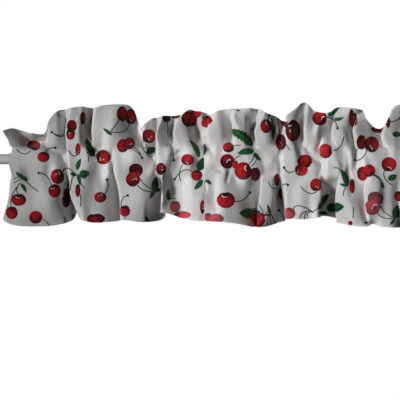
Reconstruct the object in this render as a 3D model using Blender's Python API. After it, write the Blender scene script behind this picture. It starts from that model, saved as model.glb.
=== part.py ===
"""Ruffled rod-pocket window valance, gathered on a plain round curtain rod.

Metres, +Z up.  The rod's axis is the X axis, its left end face is at the
origin, and the face of the valance looks along -Y.  The valance is two widths
of cotton joined by a plain vertical seam.  Each width is one sheet that runs
from the hem up the front, over the rod's front, up to the top of the standing
header, folds over there and comes down behind the rod, and is stitched to the
front above the rod (header seam) and below it (pocket seam).
"""
import math

import bmesh
import bpy
import numpy as np

# ---------------------------------------------------------------- dimensions
STEP = 0.002            # the tables' step: x and h below count steps of 2 mm
X_START = 25.0          # steps from the rod's left end to x = 0 in the tables
CLOTH = 0.0012          # thickness of the cloth solids
PANEL_GAP = 0.0003      # between the two widths at their seam
ROD_LENGTH = 0.960
ROD_D = 0.020           # inner tube of the rod, bare at the left end
SLEEVE_D = 0.023        # outer tube, which the cloth is gathered on
SLEEVE_START = 0.067    # where the outer tube begins
ROD_EASE = 0.0006       # eased edges at the rod's ends
ROD_CLEAR = 0.0022      # least air between the outer tube and the cloth
FACET_EASE = 0.0034     # more of it behind the rod, where the facets are long
TOP_R = 0.0017          # radius of the fold along the header's top
SEAM_GAP = 2.4          # mm between front and back cloth at the two seams
HEAD_GAP = 5.0          # mm between them half-way up the header
OPENING = 0.52          # how far a fold has opened a third of the way from a seam
SEAM_H = 9.5            # least height of the header seam over the rod's axis, steps
ROWS_SKIRT, ROWS_POCKET, ROWS_HEAD, ROWS_BEHIND = 3, 5, 2, 5
COLS_LEFT, COLS_RIGHT = 58, 72

# ---------------------------------------------------------------- fold tables
# Every row is one gather or fold line, from left to right.  u numbers the
# fold lines; x and h are in steps (h above the rod's axis), d is the depth in
# millimetres in front of the rod's axis.

# pocket: header seam, over the rod, pocket seam
#   u      x_hs   h_hs  d_hs  x_ro   d_ro  x_ps   h_ps  d_ps
POCKET = [
    (  3.0,   14.0, 10.0,  30.0,   10.7,  31.0,   13.2, -17.0,  32.0),
    ( 10.0,   20.0, 10.0,  30.0,   18.0,  31.0,   20.0, -17.5,  32.0),
    ( 25.0,   30.0, 10.0,  30.0,   28.0,  31.0,   30.0, -18.0,  22.1),
    ( 40.0,   42.0, 10.0,  30.0,   42.0,  31.0,   42.0, -18.0,  19.9),
    ( 50.0,   50.0, 10.0,  24.6,   50.0,  27.7,   50.0, -17.0,  14.5),
    ( 57.0,   57.0, 10.0,  20.7,   57.0,  25.5,   57.0, -16.0,  26.5),
    ( 63.0,   63.5, 10.0,  11.9,   63.3,  17.7,   63.5, -15.5,  16.4),
    ( 67.0,   67.0, 10.0,   2.0,   67.0,  14.2,   67.0, -15.0,   2.0),
    ( 70.5,   68.0, 10.0,  30.0,   67.6,  31.0,   68.4, -15.0,  32.0),
    ( 76.0,   76.0, 10.0,  28.9,   76.0,  26.7,   76.0, -15.0,  28.4),
    ( 82.0,   82.0, 10.0,  29.9,   82.0,  25.0,   82.0, -15.0,  26.0),
    ( 88.0,   87.5, 10.0,  29.4,   88.0,  25.0,   88.0, -15.0,  21.0),
    ( 93.0,   93.0, 10.0,   9.9,   94.0,  20.5,   93.0, -15.0,  15.0),
    (102.0,  102.0, 10.0,   6.7,  102.0,  14.2,  103.0, -15.0,   6.0),
    (109.0,  109.0, 10.0,  30.0,  109.3,  20.0,  110.0, -15.0,  18.0),
    (113.0,  112.5, 10.0,  30.0,  113.0,  14.2,  114.0, -15.0,   2.0),
    (117.0,  116.0, 10.0,  30.0,  113.4,  31.0,  114.8, -15.0,  32.0),
    (125.0,  125.0, 10.0,  30.0,  125.0,  29.1,  126.0, -15.0,  28.0),
    (135.0,  134.0, 10.0,  30.0,  135.0,  31.0,  136.0, -15.0,  20.4),
    (146.0,  146.0, 10.0,  28.3,  146.0,  24.2,  146.0, -15.0,  17.3),
    (152.5,  152.5, 10.0,   7.7,  152.7,  16.8,  152.0, -15.0,  13.9),
    (156.0,  155.8, 10.0,   2.0,  156.0,  14.2,  155.5, -15.0,   2.0),
    (159.0,  155.9, 10.0,  30.0,  156.1,  31.0,  155.8, -15.0,  32.0),
    (165.0,  165.0, 10.0,  26.8,  164.5,  31.0,  163.0, -15.0,  32.0),
    (169.0,  169.0, 10.0,  26.9,  168.3,  29.9,  167.0, -15.0,  21.1),
    (173.0,  173.0, 10.0,  22.8,  172.0,  24.1,  171.0, -15.0,  14.3),
    (180.0,  180.0, 10.0,  24.1,  180.0,  16.5,  179.0, -15.0,  10.8),
    (190.0,  190.0, 10.0,  30.0,  190.0,  29.2,  190.0, -15.0,  12.1),
    (198.0,  198.0, 10.0,  26.8,  198.0,  16.1,  198.0, -15.0,   4.8),
    (204.0,  204.0, 10.0,  22.6,  204.0,  14.2,  204.3, -15.0,   2.0),
    (210.0,  210.0, 10.0,  11.4,  210.0,  29.4,  203.9, -14.5,  32.0),
    (216.0,  216.0, 10.0,  24.0,  216.0,  30.8,  216.0, -13.0,  32.0),
    (222.0,  222.0, 10.0,  22.9,  222.0,  30.0,  223.0, -13.0,  32.0),
    (228.0,  228.0, 10.0,  30.0,  228.0,  31.0,  228.5, -14.5,  25.9),
    (236.0,  236.0, 10.0,  30.0,  237.0,  31.0,  236.0, -17.5,  19.1),
    (246.0,  246.0, 10.0,  30.0,  246.0,  31.0,  246.0, -19.0,  30.2),
    (254.0,  254.0, 10.0,  18.3,  254.0,  29.1,  254.0, -17.5,  24.0),
    (262.0,  262.0, 10.0,  16.3,  262.0,  22.9,  262.0, -16.0,  16.2),
    (271.0,  271.0, 10.0,  11.9,  271.0,  24.5,  271.0, -15.5,  10.5),
    (278.0,  278.0, 10.0,  10.5,  278.0,  17.0,  277.5, -15.0,   7.2),
    (281.5,  281.5, 10.0,   2.0,  281.3,  14.2,  281.0, -15.0,   2.0),
    (285.0,  280.4, 10.0,  30.0,  280.4,  31.0,  279.6, -15.0,  32.0),
    (292.0,  292.0, 10.0,  29.4,  293.0,  31.0,  293.0, -15.0,  29.2),
    (299.0,  299.0, 10.0,  14.0,  301.0,  20.0,  301.0, -15.0,  25.9),
    (306.0,  306.0, 10.0,   6.0,  308.0,  18.0,  309.0, -15.0,  27.1),
    (313.0,  313.0, 10.0,  10.8,  315.0,  14.5,  315.0, -15.0,  25.7),
    (320.0,  319.0, 10.0,   7.0,  322.0,  14.2,  320.5, -14.5,  19.6),
    (326.0,  325.0, 10.0,  30.0,  326.5,  31.0,  326.5, -18.5,  32.0),
    (332.0,  332.0, 10.0,  30.0,  333.0,  31.0,  333.0, -18.5,  29.7),
    (338.0,  338.0, 10.0,  25.5,  338.0,  29.9,  338.0, -16.0,  32.0),
    (344.0,  343.0, 10.0,  22.9,  343.5,  26.9,  343.0, -15.0,  30.0),
    (350.0,  350.0, 10.0,  25.1,  350.0,  27.3,  349.0, -15.0,  19.9),
    (356.0,  356.0, 10.0,   4.7,  357.0,  14.2,  356.0, -15.0,  18.9),
    (363.0,  363.0, 10.0,  27.9,  364.0,  30.6,  364.0, -15.0,  32.0),
    (370.0,  369.0, 10.0,  27.5,  371.0,  31.0,  372.0, -15.0,  31.4),
    (377.0,  377.0, 10.0,  21.6,  378.0,  28.4,  378.0, -15.0,  26.9),
    (385.0,  385.0, 10.0,  19.7,  386.0,  22.0,  386.0, -15.0,  24.1),
    (393.0,  393.0, 10.0,  21.0,  393.0,  20.1,  393.0, -15.0,  20.5),
    (401.0,  401.0, 10.0,  13.5,  401.0,  16.0,  401.0, -15.0,  13.6),
    (409.0,  409.0, 10.0,  14.9,  409.0,  16.2,  409.0, -15.0,  14.9),
    (417.0,  417.0, 10.0,  25.1,  417.0,  26.2,  417.0, -15.0,  25.7),
    (424.0,  424.0, 10.0,  22.7,  424.0,  23.8,  424.0, -15.0,  23.3),
    (430.0,  429.0, 10.0,  13.0,  431.0,  16.9,  430.0, -16.0,  14.6),
]

# header: half-way up, and its top fold
#   u      x_mid  d_mid  x_top  h_top  d_top
HEADER = [
    (  3.0,    9.3,  26.0,    4.5, 28.0,  28.0),
    (  8.0,   14.5,  20.9,   12.0, 30.5,  13.9),
    ( 16.0,   21.5,   8.9,   20.0, 28.7,   2.8),
    ( 23.0,   27.5, -14.0,   28.0, 26.4,  11.0),
    ( 28.0,   32.5, -14.0,   33.0, 25.4,  23.2),
    ( 37.0,   40.5,  -2.4,   40.0, 24.5,  13.5),
    ( 44.0,   45.8,  -3.4,   45.0, 26.5,   9.7),
    ( 49.0,   50.0,  14.8,   49.8, 38.5,  21.4),
    ( 55.0,   55.5,  15.7,   56.0, 46.2,  20.9),
    ( 60.0,   60.5,   7.8,   61.0, 48.7,  13.2),
    ( 65.0,   65.0, -14.0,   66.0, 49.4,   9.7),
    ( 71.0,   67.1,  26.0,   72.0, 50.4,  28.0),
    ( 78.0,   78.5,  25.9,   79.0, 51.5,  23.5),
    ( 82.5,   82.5,  15.6,   83.5, 52.0,  20.8),
    ( 86.5,   86.5, -11.9,   87.5, 51.8,  -0.9),
    ( 91.0,   91.0, -14.0,   92.0, 51.2,  -3.9),
    ( 95.0,   92.7,  26.0,   95.5, 51.0,  24.1),
    (103.0,  103.0,  25.1,  104.0, 53.3,  19.9),
    (111.0,  112.0,  26.0,  113.0, 54.2,  16.8),
    (118.0,  119.0,  19.0,  120.5, 54.6,  13.6),
    (126.0,  126.5,   5.2,  128.5, 53.7,   5.5),
    (133.0,  133.0,  -6.9,  134.0, 48.0,  -4.5),
    (139.0,  138.5, -14.0,  137.3, 38.0, -14.5),
    (143.0,  142.5, -14.0,  140.5, 31.7,  -8.1),
    (147.0,  142.6,   4.9,  146.0, 36.0,  19.1),
    (152.0,  152.0,  -2.3,  152.0, 40.2,  19.1),
    (156.0,  156.0, -14.0,  157.0, 41.0,   8.8),
    (160.0,  156.3,  26.0,  162.0, 42.2,  25.8),
    (165.0,  166.0,   9.8,  166.8, 42.9,  18.0),
    (167.5,  167.9, -11.6,  168.6, 43.0,  11.8),
    (170.0,  169.6, -14.0,  170.5, 43.0,   8.7),
    (174.0,  173.0, -14.0,  174.0, 43.1,   4.2),
    (180.0,  173.2,  26.0,  180.0, 43.2,  28.0),
    (186.0,  185.5,  20.0,  184.5, 45.6,  26.6),
    (191.0,  190.5,  11.0,  189.0, 48.8,  22.2),
    (196.0,  195.5, -13.3,  196.0, 47.7,  13.7),
    (200.0,  200.0, -14.0,  200.5, 46.9,  25.9),
    (204.0,  199.7, -12.0,  204.0, 46.0,  21.4),
    (208.0,  207.7, -14.0,  207.5, 44.8,  16.8),
    (212.0,  207.3,  23.2,  210.7, 43.5,  17.2),
    (216.0,  217.0,  21.5,  216.0, 46.9,  24.9),
    (221.0,  222.0,  17.4,  221.5, 48.4,  21.5),
    (226.0,  227.3,   3.9,  225.5, 49.0,  20.3),
    (231.0,  233.0, -13.3,  229.7, 49.3,  24.1),
    (237.0,  232.1,  26.0,  235.0, 49.6,  27.1),
    (243.0,  245.0,  23.1,  241.5, 49.8,  24.6),
    (249.0,  250.3, -12.8,  249.5, 50.1,  27.8),
    (255.0,  255.8, -14.0,  257.5, 50.1,   6.4),
    (260.0,  254.5,  26.0,  263.0, 46.6,  26.7),
    (266.0,  267.0,  22.9,  269.0, 44.5,  18.7),
    (272.0,  273.0,  11.2,  275.0, 43.0,   6.5),
    (277.0,  277.5,  -4.2,  279.0, 41.3,  -7.0),
    (281.5,  281.2, -14.0,  283.2, 39.0, -15.0),
    (285.0,  285.0,  18.0,  287.0, 38.2,  -8.0),
    (290.0,  290.7,  24.2,  285.3, 41.8,  19.3),
    (295.0,  295.5,   6.2,  296.0, 51.0,  14.8),
    (299.5,  299.8, -14.0,  301.0, 55.5,   9.6),
    (303.0,  305.0, -14.0,  305.5, 56.8,   0.0),
    (307.0,  303.5,  26.0,  309.3, 54.0,   2.0),
    (312.0,  312.0,  21.7,  314.5, 49.0,   0.0),
    (317.0,  317.3,  20.9,  320.0, 46.7,   5.0),
    (322.0,  322.5,   8.5,  326.0, 45.9,  11.0),
    (327.0,  328.0,  -3.6,  331.0, 47.2,  11.0),
    (333.0,  334.0, -14.0,  336.0, 51.0,   6.2),
    (338.0,  331.3,  26.0,  341.0, 52.0,   5.3),
    (344.0,  345.0,  21.9,  346.0, 51.6,  12.1),
    (349.0,  350.0,   7.9,  351.0, 50.9,  14.5),
    (354.0,  355.0, -11.1,  357.0, 50.0,  10.7),
    (360.0,  352.4,  26.0,  363.5, 49.2,  -5.6),
    (366.0,  367.5,  13.1,  366.3, 41.0,   3.4),
    (372.0,  373.0,   6.6,  372.0, 34.7,  -0.8),
    (379.0,  379.0,  -2.4,  379.0, 30.9,  -9.9),
    (384.0,  384.0, -13.0,  384.5, 31.5, -15.0),
    (388.0,  381.3,  17.9,  388.2, 40.0,  10.9),
    (392.0,  392.0,  11.1,  392.0, 49.5,  16.5),
    (398.0,  398.0,   1.7,  398.0, 53.8,  16.1),
    (405.0,  405.0, -10.0,  405.0, 52.8,   9.0),
    (411.0,  411.0,   8.0,  412.0, 50.5,  11.9),
    (418.0,  418.0,  13.0,  419.0, 50.0,  12.8),
    (425.0,  425.0,   6.5,  426.0, 50.5,   9.1),
    (430.0,  430.5,   3.6,  431.0, 49.5,   6.5),
]

# skirt: half-way down, and the hem
#   u      x_mid  d_mid  x_hem  h_hem  d_hem
SKIRT = [
    (  3.0,    9.7,  20.4,    3.3, -58.5,  10.1),
    (  6.0,   12.5,  34.0,    6.5, -61.8,  34.0),
    ( 11.0,   17.0,  34.0,   12.5, -65.0,  34.0),
    ( 19.0,   25.0,  34.0,   22.0, -66.8,  33.1),
    ( 30.0,   36.0,  31.8,   35.0, -67.3,  24.8),
    ( 40.0,   45.5,  32.2,   47.0, -67.1,  17.1),
    ( 49.0,   53.5,  28.2,   57.0, -66.0,  10.8),
    ( 56.0,   60.5,  10.1,   66.0, -63.8,   2.1),
    ( 61.0,   63.0, -29.3,   70.5, -61.5, -21.2),
    ( 65.0,   66.6, -30.0,   73.5, -57.5, -28.0),
    ( 67.0,   67.8, -30.0,   74.6, -53.3, -28.0),
    ( 69.5,   68.8, -26.5,   76.2, -53.6, -28.0),
    ( 73.0,   72.4,  34.0,   78.8, -58.0,   8.0),
    ( 80.0,   81.0,  33.4,   84.3, -61.6,  20.6),
    ( 87.0,   88.0,  26.4,   94.0, -63.6,  10.4),
    ( 93.0,   94.5,  19.8,  100.0, -63.6,  11.7),
    (100.0,  101.5,  14.3,  105.0, -63.2,   6.9),
    (105.0,  107.0,   3.6,  110.5, -62.8,  -2.0),
    (109.0,  112.0, -26.8,  115.5, -62.4, -24.0),
    (111.5,  116.0, -29.9,  117.5, -62.0, -28.0),
    (113.3,  120.3, -29.1,  121.3, -61.6, -26.7),
    (115.2,  118.9, -14.2,  119.8, -61.4,  -6.0),
    (118.0,  121.0,  34.0,  122.0, -61.0,  29.0),
    (126.0,  129.0,  33.1,  130.0, -61.3,  25.2),
    (134.0,  137.0,  32.4,  138.0, -62.8,  19.5),
    (141.0,  143.5,  29.6,  144.5, -63.0,  13.3),
    (145.5,  147.2,  25.5,  147.5, -63.0,   3.3),
    (149.5,  151.5,  15.0,  152.0, -62.7,  -4.5),
    (153.5,  158.0, -29.8,  160.0, -61.3, -21.2),
    (157.0,  165.5, -30.0,  165.0, -57.0, -28.0),
    (160.0,  165.4, -25.7,  164.9, -53.5, -19.2),
    (163.0,  166.0,   5.3,  164.5, -52.5,   5.8),
    (166.0,  162.3,  34.0,  160.5, -52.5,  -4.3),
    (169.0,  164.3,  31.8,  160.8, -53.2,  34.0),
    (174.0,  171.0,   6.2,  170.0, -54.6,  30.5),
    (183.0,  182.0,   4.0,  181.0, -58.8,  14.5),
    (193.0,  193.0,  30.6,  193.0, -61.2,  20.8),
    (199.0,  199.5,  31.2,  199.5, -61.9,  23.8),
    (204.0,  204.3,  29.2,  204.6, -62.1,  22.2),
    (208.0,  208.5,  25.9,  209.0, -62.2,  28.1),
    (214.0,  215.0,  21.7,  216.0, -62.4,  34.0),
    (219.0,  220.0,  34.0,  221.0, -62.7,  34.0),
    (222.0,  223.0,  34.0,  224.5, -63.0,  33.1),
    (228.0,  229.0,  30.4,  232.0, -63.8,  25.7),
    (238.0,  239.0,  20.1,  243.0, -65.9,  13.8),
    (248.0,  249.0,  -3.3,  252.0, -67.8,  -2.7),
    (255.0,  256.0, -30.0,  258.0, -68.2, -28.0),
    (260.0,  261.0, -30.0,  256.3, -68.0,  32.9),
    (264.0,  259.0,  34.0,  266.0, -67.5,  12.4),
    (269.0,  269.5,  31.7,  270.5, -66.4,   2.7),
    (273.0,  273.5,  19.0,  274.5, -65.4, -15.4),
    (277.0,  278.5, -26.6,  280.0, -63.7, -15.7),
    (280.0,  285.0, -29.4,  287.5, -61.5, -28.0),
    (282.0,  285.5, -27.2,  286.5, -60.7, -11.3),
    (284.0,  283.5, -16.6,  286.5, -60.6,   1.5),
    (287.0,  285.0,  33.1,  285.1, -60.3,  34.0),
    (292.0,  291.0,  31.9,  292.5, -59.6,  33.6),
    (300.0,  300.0,  33.9,  301.0, -60.2,  32.5),
    (309.0,  309.5,  29.2,  310.0, -59.4,  27.2),
    (315.0,  316.0,  29.1,  316.5, -58.4,  34.0),
    (318.5,  319.8,  28.2,  319.5, -57.8,  19.2),
    (321.5,  322.5,  -4.0,  322.5, -57.1,  -6.0),
    (325.5,  328.0, -30.0,  328.0, -57.3, -26.0),
    (330.0,  335.0, -30.0,  335.0, -58.6, -28.0),
    (333.0,  341.3, -28.1,  341.0, -61.0, -25.5),
    (335.0,  340.1, -17.7,  339.4, -61.6,  -7.2),
    (337.0,  337.4,  -7.6,  337.5, -61.7,  -1.0),
    (340.0,  334.5,  31.0,  335.5, -63.2,  28.0),
    (346.0,  346.0,  31.3,  347.0, -65.6,  27.9),
    (351.0,  351.5,  27.4,  353.0, -66.8,  32.2),
    (357.0,  358.0,  18.4,  360.0, -67.3,  32.1),
    (364.0,  365.0,   2.4,  367.0, -66.8,  26.6),
    (370.0,  363.2,  33.7,  371.5, -64.8,  15.8),
    (375.0,  376.0,  31.2,  375.5, -65.6,   9.2),
    (382.0,  383.0,  17.2,  383.0, -67.9,  14.0),
    (391.0,  392.0,   8.7,  392.0, -68.5,  13.3),
    (399.0,  400.0,  -6.5,  400.0, -69.0, -28.0),
    (407.0,  408.0,   2.5,  409.0, -68.5,  -5.7),
    (415.0,  416.0,  16.3,  417.0, -67.5,  16.6),
    (423.0,  424.0,  19.9,  425.0, -66.5,  21.2),
    (428.0,  429.0,  10.2,  431.0, -65.5,  11.6),
    (430.0,  430.0,   0.3,  432.0, -65.0,   1.7),
]


def hermite(table, column, u):
    """Smooth curve through one column of a table, as a function of u.  Its
    slope is held down beside short steps, so that a fold's edge stays crisp."""
    rows = np.array(table, dtype=float)
    k, f = rows[:, 0], rows[:, column]
    rate = np.diff(f) / np.diff(k)
    m = np.empty_like(f)
    m[1:-1] = (f[2:] - f[:-2]) / (k[2:] - k[:-2])
    m[0], m[-1] = rate[0], rate[-1]
    least = np.minimum(abs(rate[1:]), abs(rate[:-1]))
    most = np.where(rate[1:] * rate[:-1] > 0, 3.0, 1.0) * least
    m[1:-1] = np.clip(m[1:-1], -most, most)
    i = np.clip(np.searchsorted(k, u, side='right') - 1, 0, len(k) - 2)
    w = k[i + 1] - k[i]
    t = (u - k[i]) / w
    return ((1 + 2 * t) * (1 - t) ** 2 * f[i] + t * (1 - t) ** 2 * w * m[i]
            + t * t * (3 - 2 * t) * f[i + 1] - t * t * (1 - t) * w * m[i + 1])


def rise(level, knots, t):
    """Smooth curve up the sheet: knots is (u, level), t the stations wanted."""
    m = np.empty_like(knots)
    m[:, 1:-1] = (knots[:, 2:] - knots[:, :-2]) / (level[2:] - level[:-2])
    m[:, 0] = (knots[:, 1] - knots[:, 0]) / level[1]
    m[:, -1] = (knots[:, -1] - knots[:, -2]) / (level[-1] - level[-2])
    i = np.clip(np.searchsorted(level, t, side='right') - 1, 0, len(level) - 2)
    w = level[i + 1] - level[i]
    s = (t - level[i]) / w
    return ((1 + 2 * s) * (1 - s) ** 2 * knots[:, i] + s * (1 - s) ** 2 * w * m[:, i]
            + s * s * (3 - 2 * s) * knots[:, i + 1] - s * s * (1 - s) * w * m[:, i + 1])


def profile(u, skirt_s, pocket_q, head_p, behind_q, top_a):
    """The sheet's section along fold line u, from the hem to its back end.

    u is an array; returns an array of (u, station, xyz) in steps and mm turned
    into metres.
    """
    col = lambda table, n: hermite(table, n, u)[:, None]
    x_hs, h_hs, d_hs, x_ro, d_ro, x_ps, h_ps, d_ps = (
        col(POCKET, n) for n in range(1, 9))
    xm, dm, xt, ht, dt = (col(HEADER, n) for n in range(1, 6))
    xk, dk, xh, hh, dh = (col(SKIRT, n) for n in range(1, 6))
    least = 500.0 * SLEEVE_D + 1000.0 * ROD_CLEAR + 500.0 * CLOTH + 0.4
    d_ro = np.maximum(d_ro, least)
    h_hs = np.maximum(h_hs, SEAM_H)

    r = TOP_R * 1000.0
    h_end = ht - r / (STEP * 1000.0)
    h_mid = 0.5 * (h_hs + h_end)
    h_ro = 0.5 * (h_ps + h_hs) + 1.0
    h_k = h_ps + 0.5 * (hh - h_ps)
    near = lambda a, b, part: a + part * (b - a)
    level = np.array([0.0, 0.26, 0.38, 0.44, 0.54, 0.63, 0.69, 0.81, 1.0])
    knots = [np.concatenate([np.broadcast_to(c, xh.shape) for c in row], axis=1)
             for row in ((xh, xk, near(x_ps, xk, OPENING), x_ps, x_ro,
                          x_hs, near(x_hs, xm, OPENING), xm, xt),
                         (dh, dk, near(d_ps, dk, OPENING), d_ps, d_ro,
                          d_hs, near(d_hs, dm, OPENING), dm, dt),
                         (hh, h_k, near(h_ps, h_k, 0.33), h_ps, h_ro,
                          h_hs, near(h_hs, h_mid, 0.33), h_mid, h_end))]
    stretch = lambda a, b, t: level[a] + (level[b] - level[a]) * np.asarray(t)
    front = [rise(level, k, stretch(0, 3, 1.0 - np.asarray(skirt_s))) for k in knots]
    over = [rise(level, k, stretch(3, 5, pocket_q)) for k in knots]
    head = [rise(level, k, stretch(5, 8, head_p)) for k in knots]
    parts = [front, over, head]
    # over the top
    a = np.radians(top_a)[None, :]
    parts.append((xt + 0 * a, dt - r + r * np.cos(a),
                  h_end + r * np.sin(a) / (STEP * 1000.0)))
    # back of the header, top to seam
    pb = np.asarray(head_p)[None, ::-1]
    gap = (2 * r * pb + SEAM_GAP * (1 - pb)
           + (HEAD_GAP - r - 0.5 * SEAM_GAP) * 4 * pb * (1 - pb))
    parts.append((head[0][:, ::-1], head[1][:, ::-1] - gap, head[2][:, ::-1]))
    # behind the rod, header seam to pocket seam
    qb = np.asarray(behind_q)[None, :]
    x = x_ps + (x_hs - x_ps) * qb
    base = d_ps + (d_hs - d_ps) * qb - SEAM_GAP
    back = -(least + 0.35 * (d_ro - least) + 1.0)
    mid = 0.5 * (d_ps + d_hs) - SEAM_GAP
    d = base + (back - mid) * np.sin(math.pi * qb) ** 0.8
    h = h_ps + (h_hs - h_ps) * (0.5 - 0.5 * np.cos(math.pi * qb))
    parts.append((x, d, h))

    x = np.concatenate([np.broadcast_to(i[0], i[2].shape) for i in parts], axis=1)
    d = np.concatenate([i[1] for i in parts], axis=1)
    h = np.concatenate([i[2] for i in parts], axis=1)
    # the sheet rests round the rod, never nearer its axis than this
    z = h * STEP * 1000.0
    room = np.full(z.shape[1], least + 0.3)
    room[-qb.shape[1]:] += FACET_EASE * 1000.0
    grow = np.maximum(1.0, room / np.maximum(np.hypot(d, z), 1e-6))
    return np.stack([(x + X_START) * STEP, -d * grow / 1000.0, z * grow / 1000.0], axis=2)


def stations(n_skirt, n_pocket, n_head, n_behind, n_top):
    """Stations along the section, none twice where two stretches meet."""
    skirt = np.linspace(1.0, 0.0, n_skirt + 1)[:-1]
    pocket = np.linspace(0.0, 1.0, n_pocket + 1)[:-1]
    head = np.linspace(0.0, 1.0, n_head + 1)
    behind = np.linspace(1.0, 0.0, n_behind + 1)[1:]
    top = np.linspace(0.0, 180.0, n_top + 1)[1:-1]
    return skirt, pocket, head, behind, top


def columns(u0, u1, count):
    """Fold-line numbers spaced evenly along the folded cloth."""
    u = np.linspace(u0, u1, 4001)
    length = np.zeros(len(u) - 1)
    for table, cx, cd in ((SKIRT, 1, 2), (SKIRT, 3, 5), (HEADER, 1, 2), (POCKET, 4, 5)):
        x = hermite(table, cx, u) * STEP * 1000.0
        d = hermite(table, cd, u)
        length = np.maximum(length, np.hypot(np.diff(x), np.diff(d)))
    total = np.concatenate([[0.0], np.cumsum(length)])
    return np.interp(np.linspace(0.0, total[-1], count + 1), total, u)


def material(name, colour, roughness, metallic=0.0):
    mat = bpy.data.materials.new(name)
    mat.use_nodes = True
    shader = mat.node_tree.nodes['Principled BSDF']
    shader.inputs['Base Color'].default_value = (*colour, 1.0)
    shader.inputs['Roughness'].default_value = roughness
    shader.inputs['Metallic'].default_value = metallic
    return mat


def sheet_normals(points):
    """Unit normals of a grid of points; on the two side edges they are square
    to the section alone, so that two widths meet edge to edge."""
    along = np.gradient(points, axis=1)
    across = np.gradient(points, axis=0)
    across[0], across[-1] = (1.0, 0.0, 0.0), (1.0, 0.0, 0.0)
    normal = np.cross(across, along)
    return normal / np.linalg.norm(normal, axis=2)[:, :, None]


def make_panel(name, u0, u1, count, x_shift, mat):
    """One width of cloth: its folded sheet, thickened both ways."""
    points = profile(columns(u0, u1, count), *stations(
        ROWS_SKIRT, ROWS_POCKET, ROWS_HEAD, ROWS_BEHIND, 3))
    points[:, :, 0] += x_shift
    half = 0.5 * CLOTH * sheet_normals(points)
    nu, nv = points.shape[:2]
    bm = bmesh.new()
    face, wrong = ([[bm.verts.new(p) for p in column] for column in points + side * half]
                   for side in (1.0, -1.0))
    for i in range(nu - 1):
        for j in range(nv - 1):
            bm.faces.new((face[i][j], face[i + 1][j], face[i + 1][j + 1], face[i][j + 1]))
            bm.faces.new((wrong[i][j], wrong[i][j + 1], wrong[i + 1][j + 1], wrong[i + 1][j]))
    edge = ([(i, 0) for i in range(nu)] + [(nu - 1, j) for j in range(1, nv)]
            + [(i, nv - 1) for i in range(nu - 2, -1, -1)] + [(0, j) for j in range(nv - 2, 0, -1)])
    for (i, j), (k, l) in zip(edge, edge[1:] + edge[:1]):
        bm.faces.new((wrong[i][j], wrong[k][l], face[k][l], face[i][j]))
    bmesh.ops.triangulate(bm, faces=bm.faces, quad_method='SHORT_EDGE')
    mesh = bpy.data.meshes.new(name)
    bm.to_mesh(mesh)
    bm.free()
    mesh.materials.append(mat)
    mesh.shade_smooth()
    panel = bpy.data.objects.new(name, mesh)
    bpy.context.scene.collection.objects.link(panel)
    return panel


def make_rod(mat):
    """Plain round rod turned about X, with the outer tube's step."""
    r0, r1, e = ROD_D / 2, SLEEVE_D / 2, ROD_EASE
    outline = [(0.0, 0.0), (0.0, r0 - e), (e, r0), (SLEEVE_START, r0),
               (SLEEVE_START, r1 - e), (SLEEVE_START + e, r1),
               (ROD_LENGTH - e, r1), (ROD_LENGTH, r1 - e), (ROD_LENGTH, 0.0)]
    sides = 48
    bm = bmesh.new()
    rings = []
    for x, r in outline[1:-1]:
        rings.append([bm.verts.new((x, r * math.cos(2 * math.pi * k / sides),
                                    r * math.sin(2 * math.pi * k / sides)))
                      for k in range(sides)])
    for a, b in zip(rings, rings[1:]):
        for k in range(sides):
            n = (k + 1) % sides
            bm.faces.new((a[k], a[n], b[n], b[k]))
    bm.faces.new(list(reversed(rings[0])))
    bm.faces.new(rings[-1])
    bmesh.ops.recalc_face_normals(bm, faces=bm.faces)
    mesh = bpy.data.meshes.new('rod')
    bm.to_mesh(mesh)
    bm.free()
    mesh.materials.append(mat)
    mesh.shade_smooth()
    mesh.set_sharp_from_angle(angle=math.radians(40))
    rod = bpy.data.objects.new('rod', mesh)
    bpy.context.scene.collection.objects.link(rod)
    return rod


def main():
    for obj in list(bpy.data.objects):
        bpy.data.objects.remove(obj, do_unlink=True)
    seam = 204.0
    make_rod(material('rod_white', (0.86, 0.86, 0.85), 0.4))
    make_panel('panel_left', 3.0, seam, COLS_LEFT, -0.5 * PANEL_GAP,
               material('cotton_left', (0.83, 0.82, 0.81), 0.9))
    make_panel('panel_right', seam, 430.0, COLS_RIGHT, 0.5 * PANEL_GAP,
               material('cotton_right', (0.83, 0.82, 0.81), 0.9))


main()
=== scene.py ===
"""Looks of the ruffled rod-pocket window valance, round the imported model.

Metres, +Z up, the same frame as the solids: the rod's axis is the X axis, its
left end face is at the origin and the valance faces -Y.  Each width of cloth
is one fine sheet on the folds of its solid, with the small creases, gathers
and puckers added, and a print of cherry sprigs drawn on the cloth itself.
"""
import math

import bpy
import numpy as np
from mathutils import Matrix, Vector


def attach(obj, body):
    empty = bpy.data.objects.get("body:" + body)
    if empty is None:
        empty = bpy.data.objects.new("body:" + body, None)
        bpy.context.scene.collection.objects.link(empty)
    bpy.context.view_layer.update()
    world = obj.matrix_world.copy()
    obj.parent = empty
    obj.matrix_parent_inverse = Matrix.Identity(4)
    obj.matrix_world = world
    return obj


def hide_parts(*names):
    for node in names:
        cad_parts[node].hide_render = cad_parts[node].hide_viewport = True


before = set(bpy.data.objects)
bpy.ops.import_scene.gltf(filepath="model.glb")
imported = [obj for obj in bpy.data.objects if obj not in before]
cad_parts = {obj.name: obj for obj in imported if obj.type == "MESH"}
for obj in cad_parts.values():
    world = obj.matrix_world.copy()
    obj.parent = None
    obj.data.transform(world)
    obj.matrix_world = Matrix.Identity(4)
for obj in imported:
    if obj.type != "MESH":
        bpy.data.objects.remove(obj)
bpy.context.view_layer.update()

# ---------------------------------------------------------------- dimensions
STEP = 0.002            # the tables' step: x and h below count steps of 2 mm
X_START = 25.0          # steps from the rod's left end to x = 0 in the tables
CLOTH = 0.0008          # thickness of the cloth
PANEL_GAP = 0.0003      # between the two widths at their seam
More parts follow.
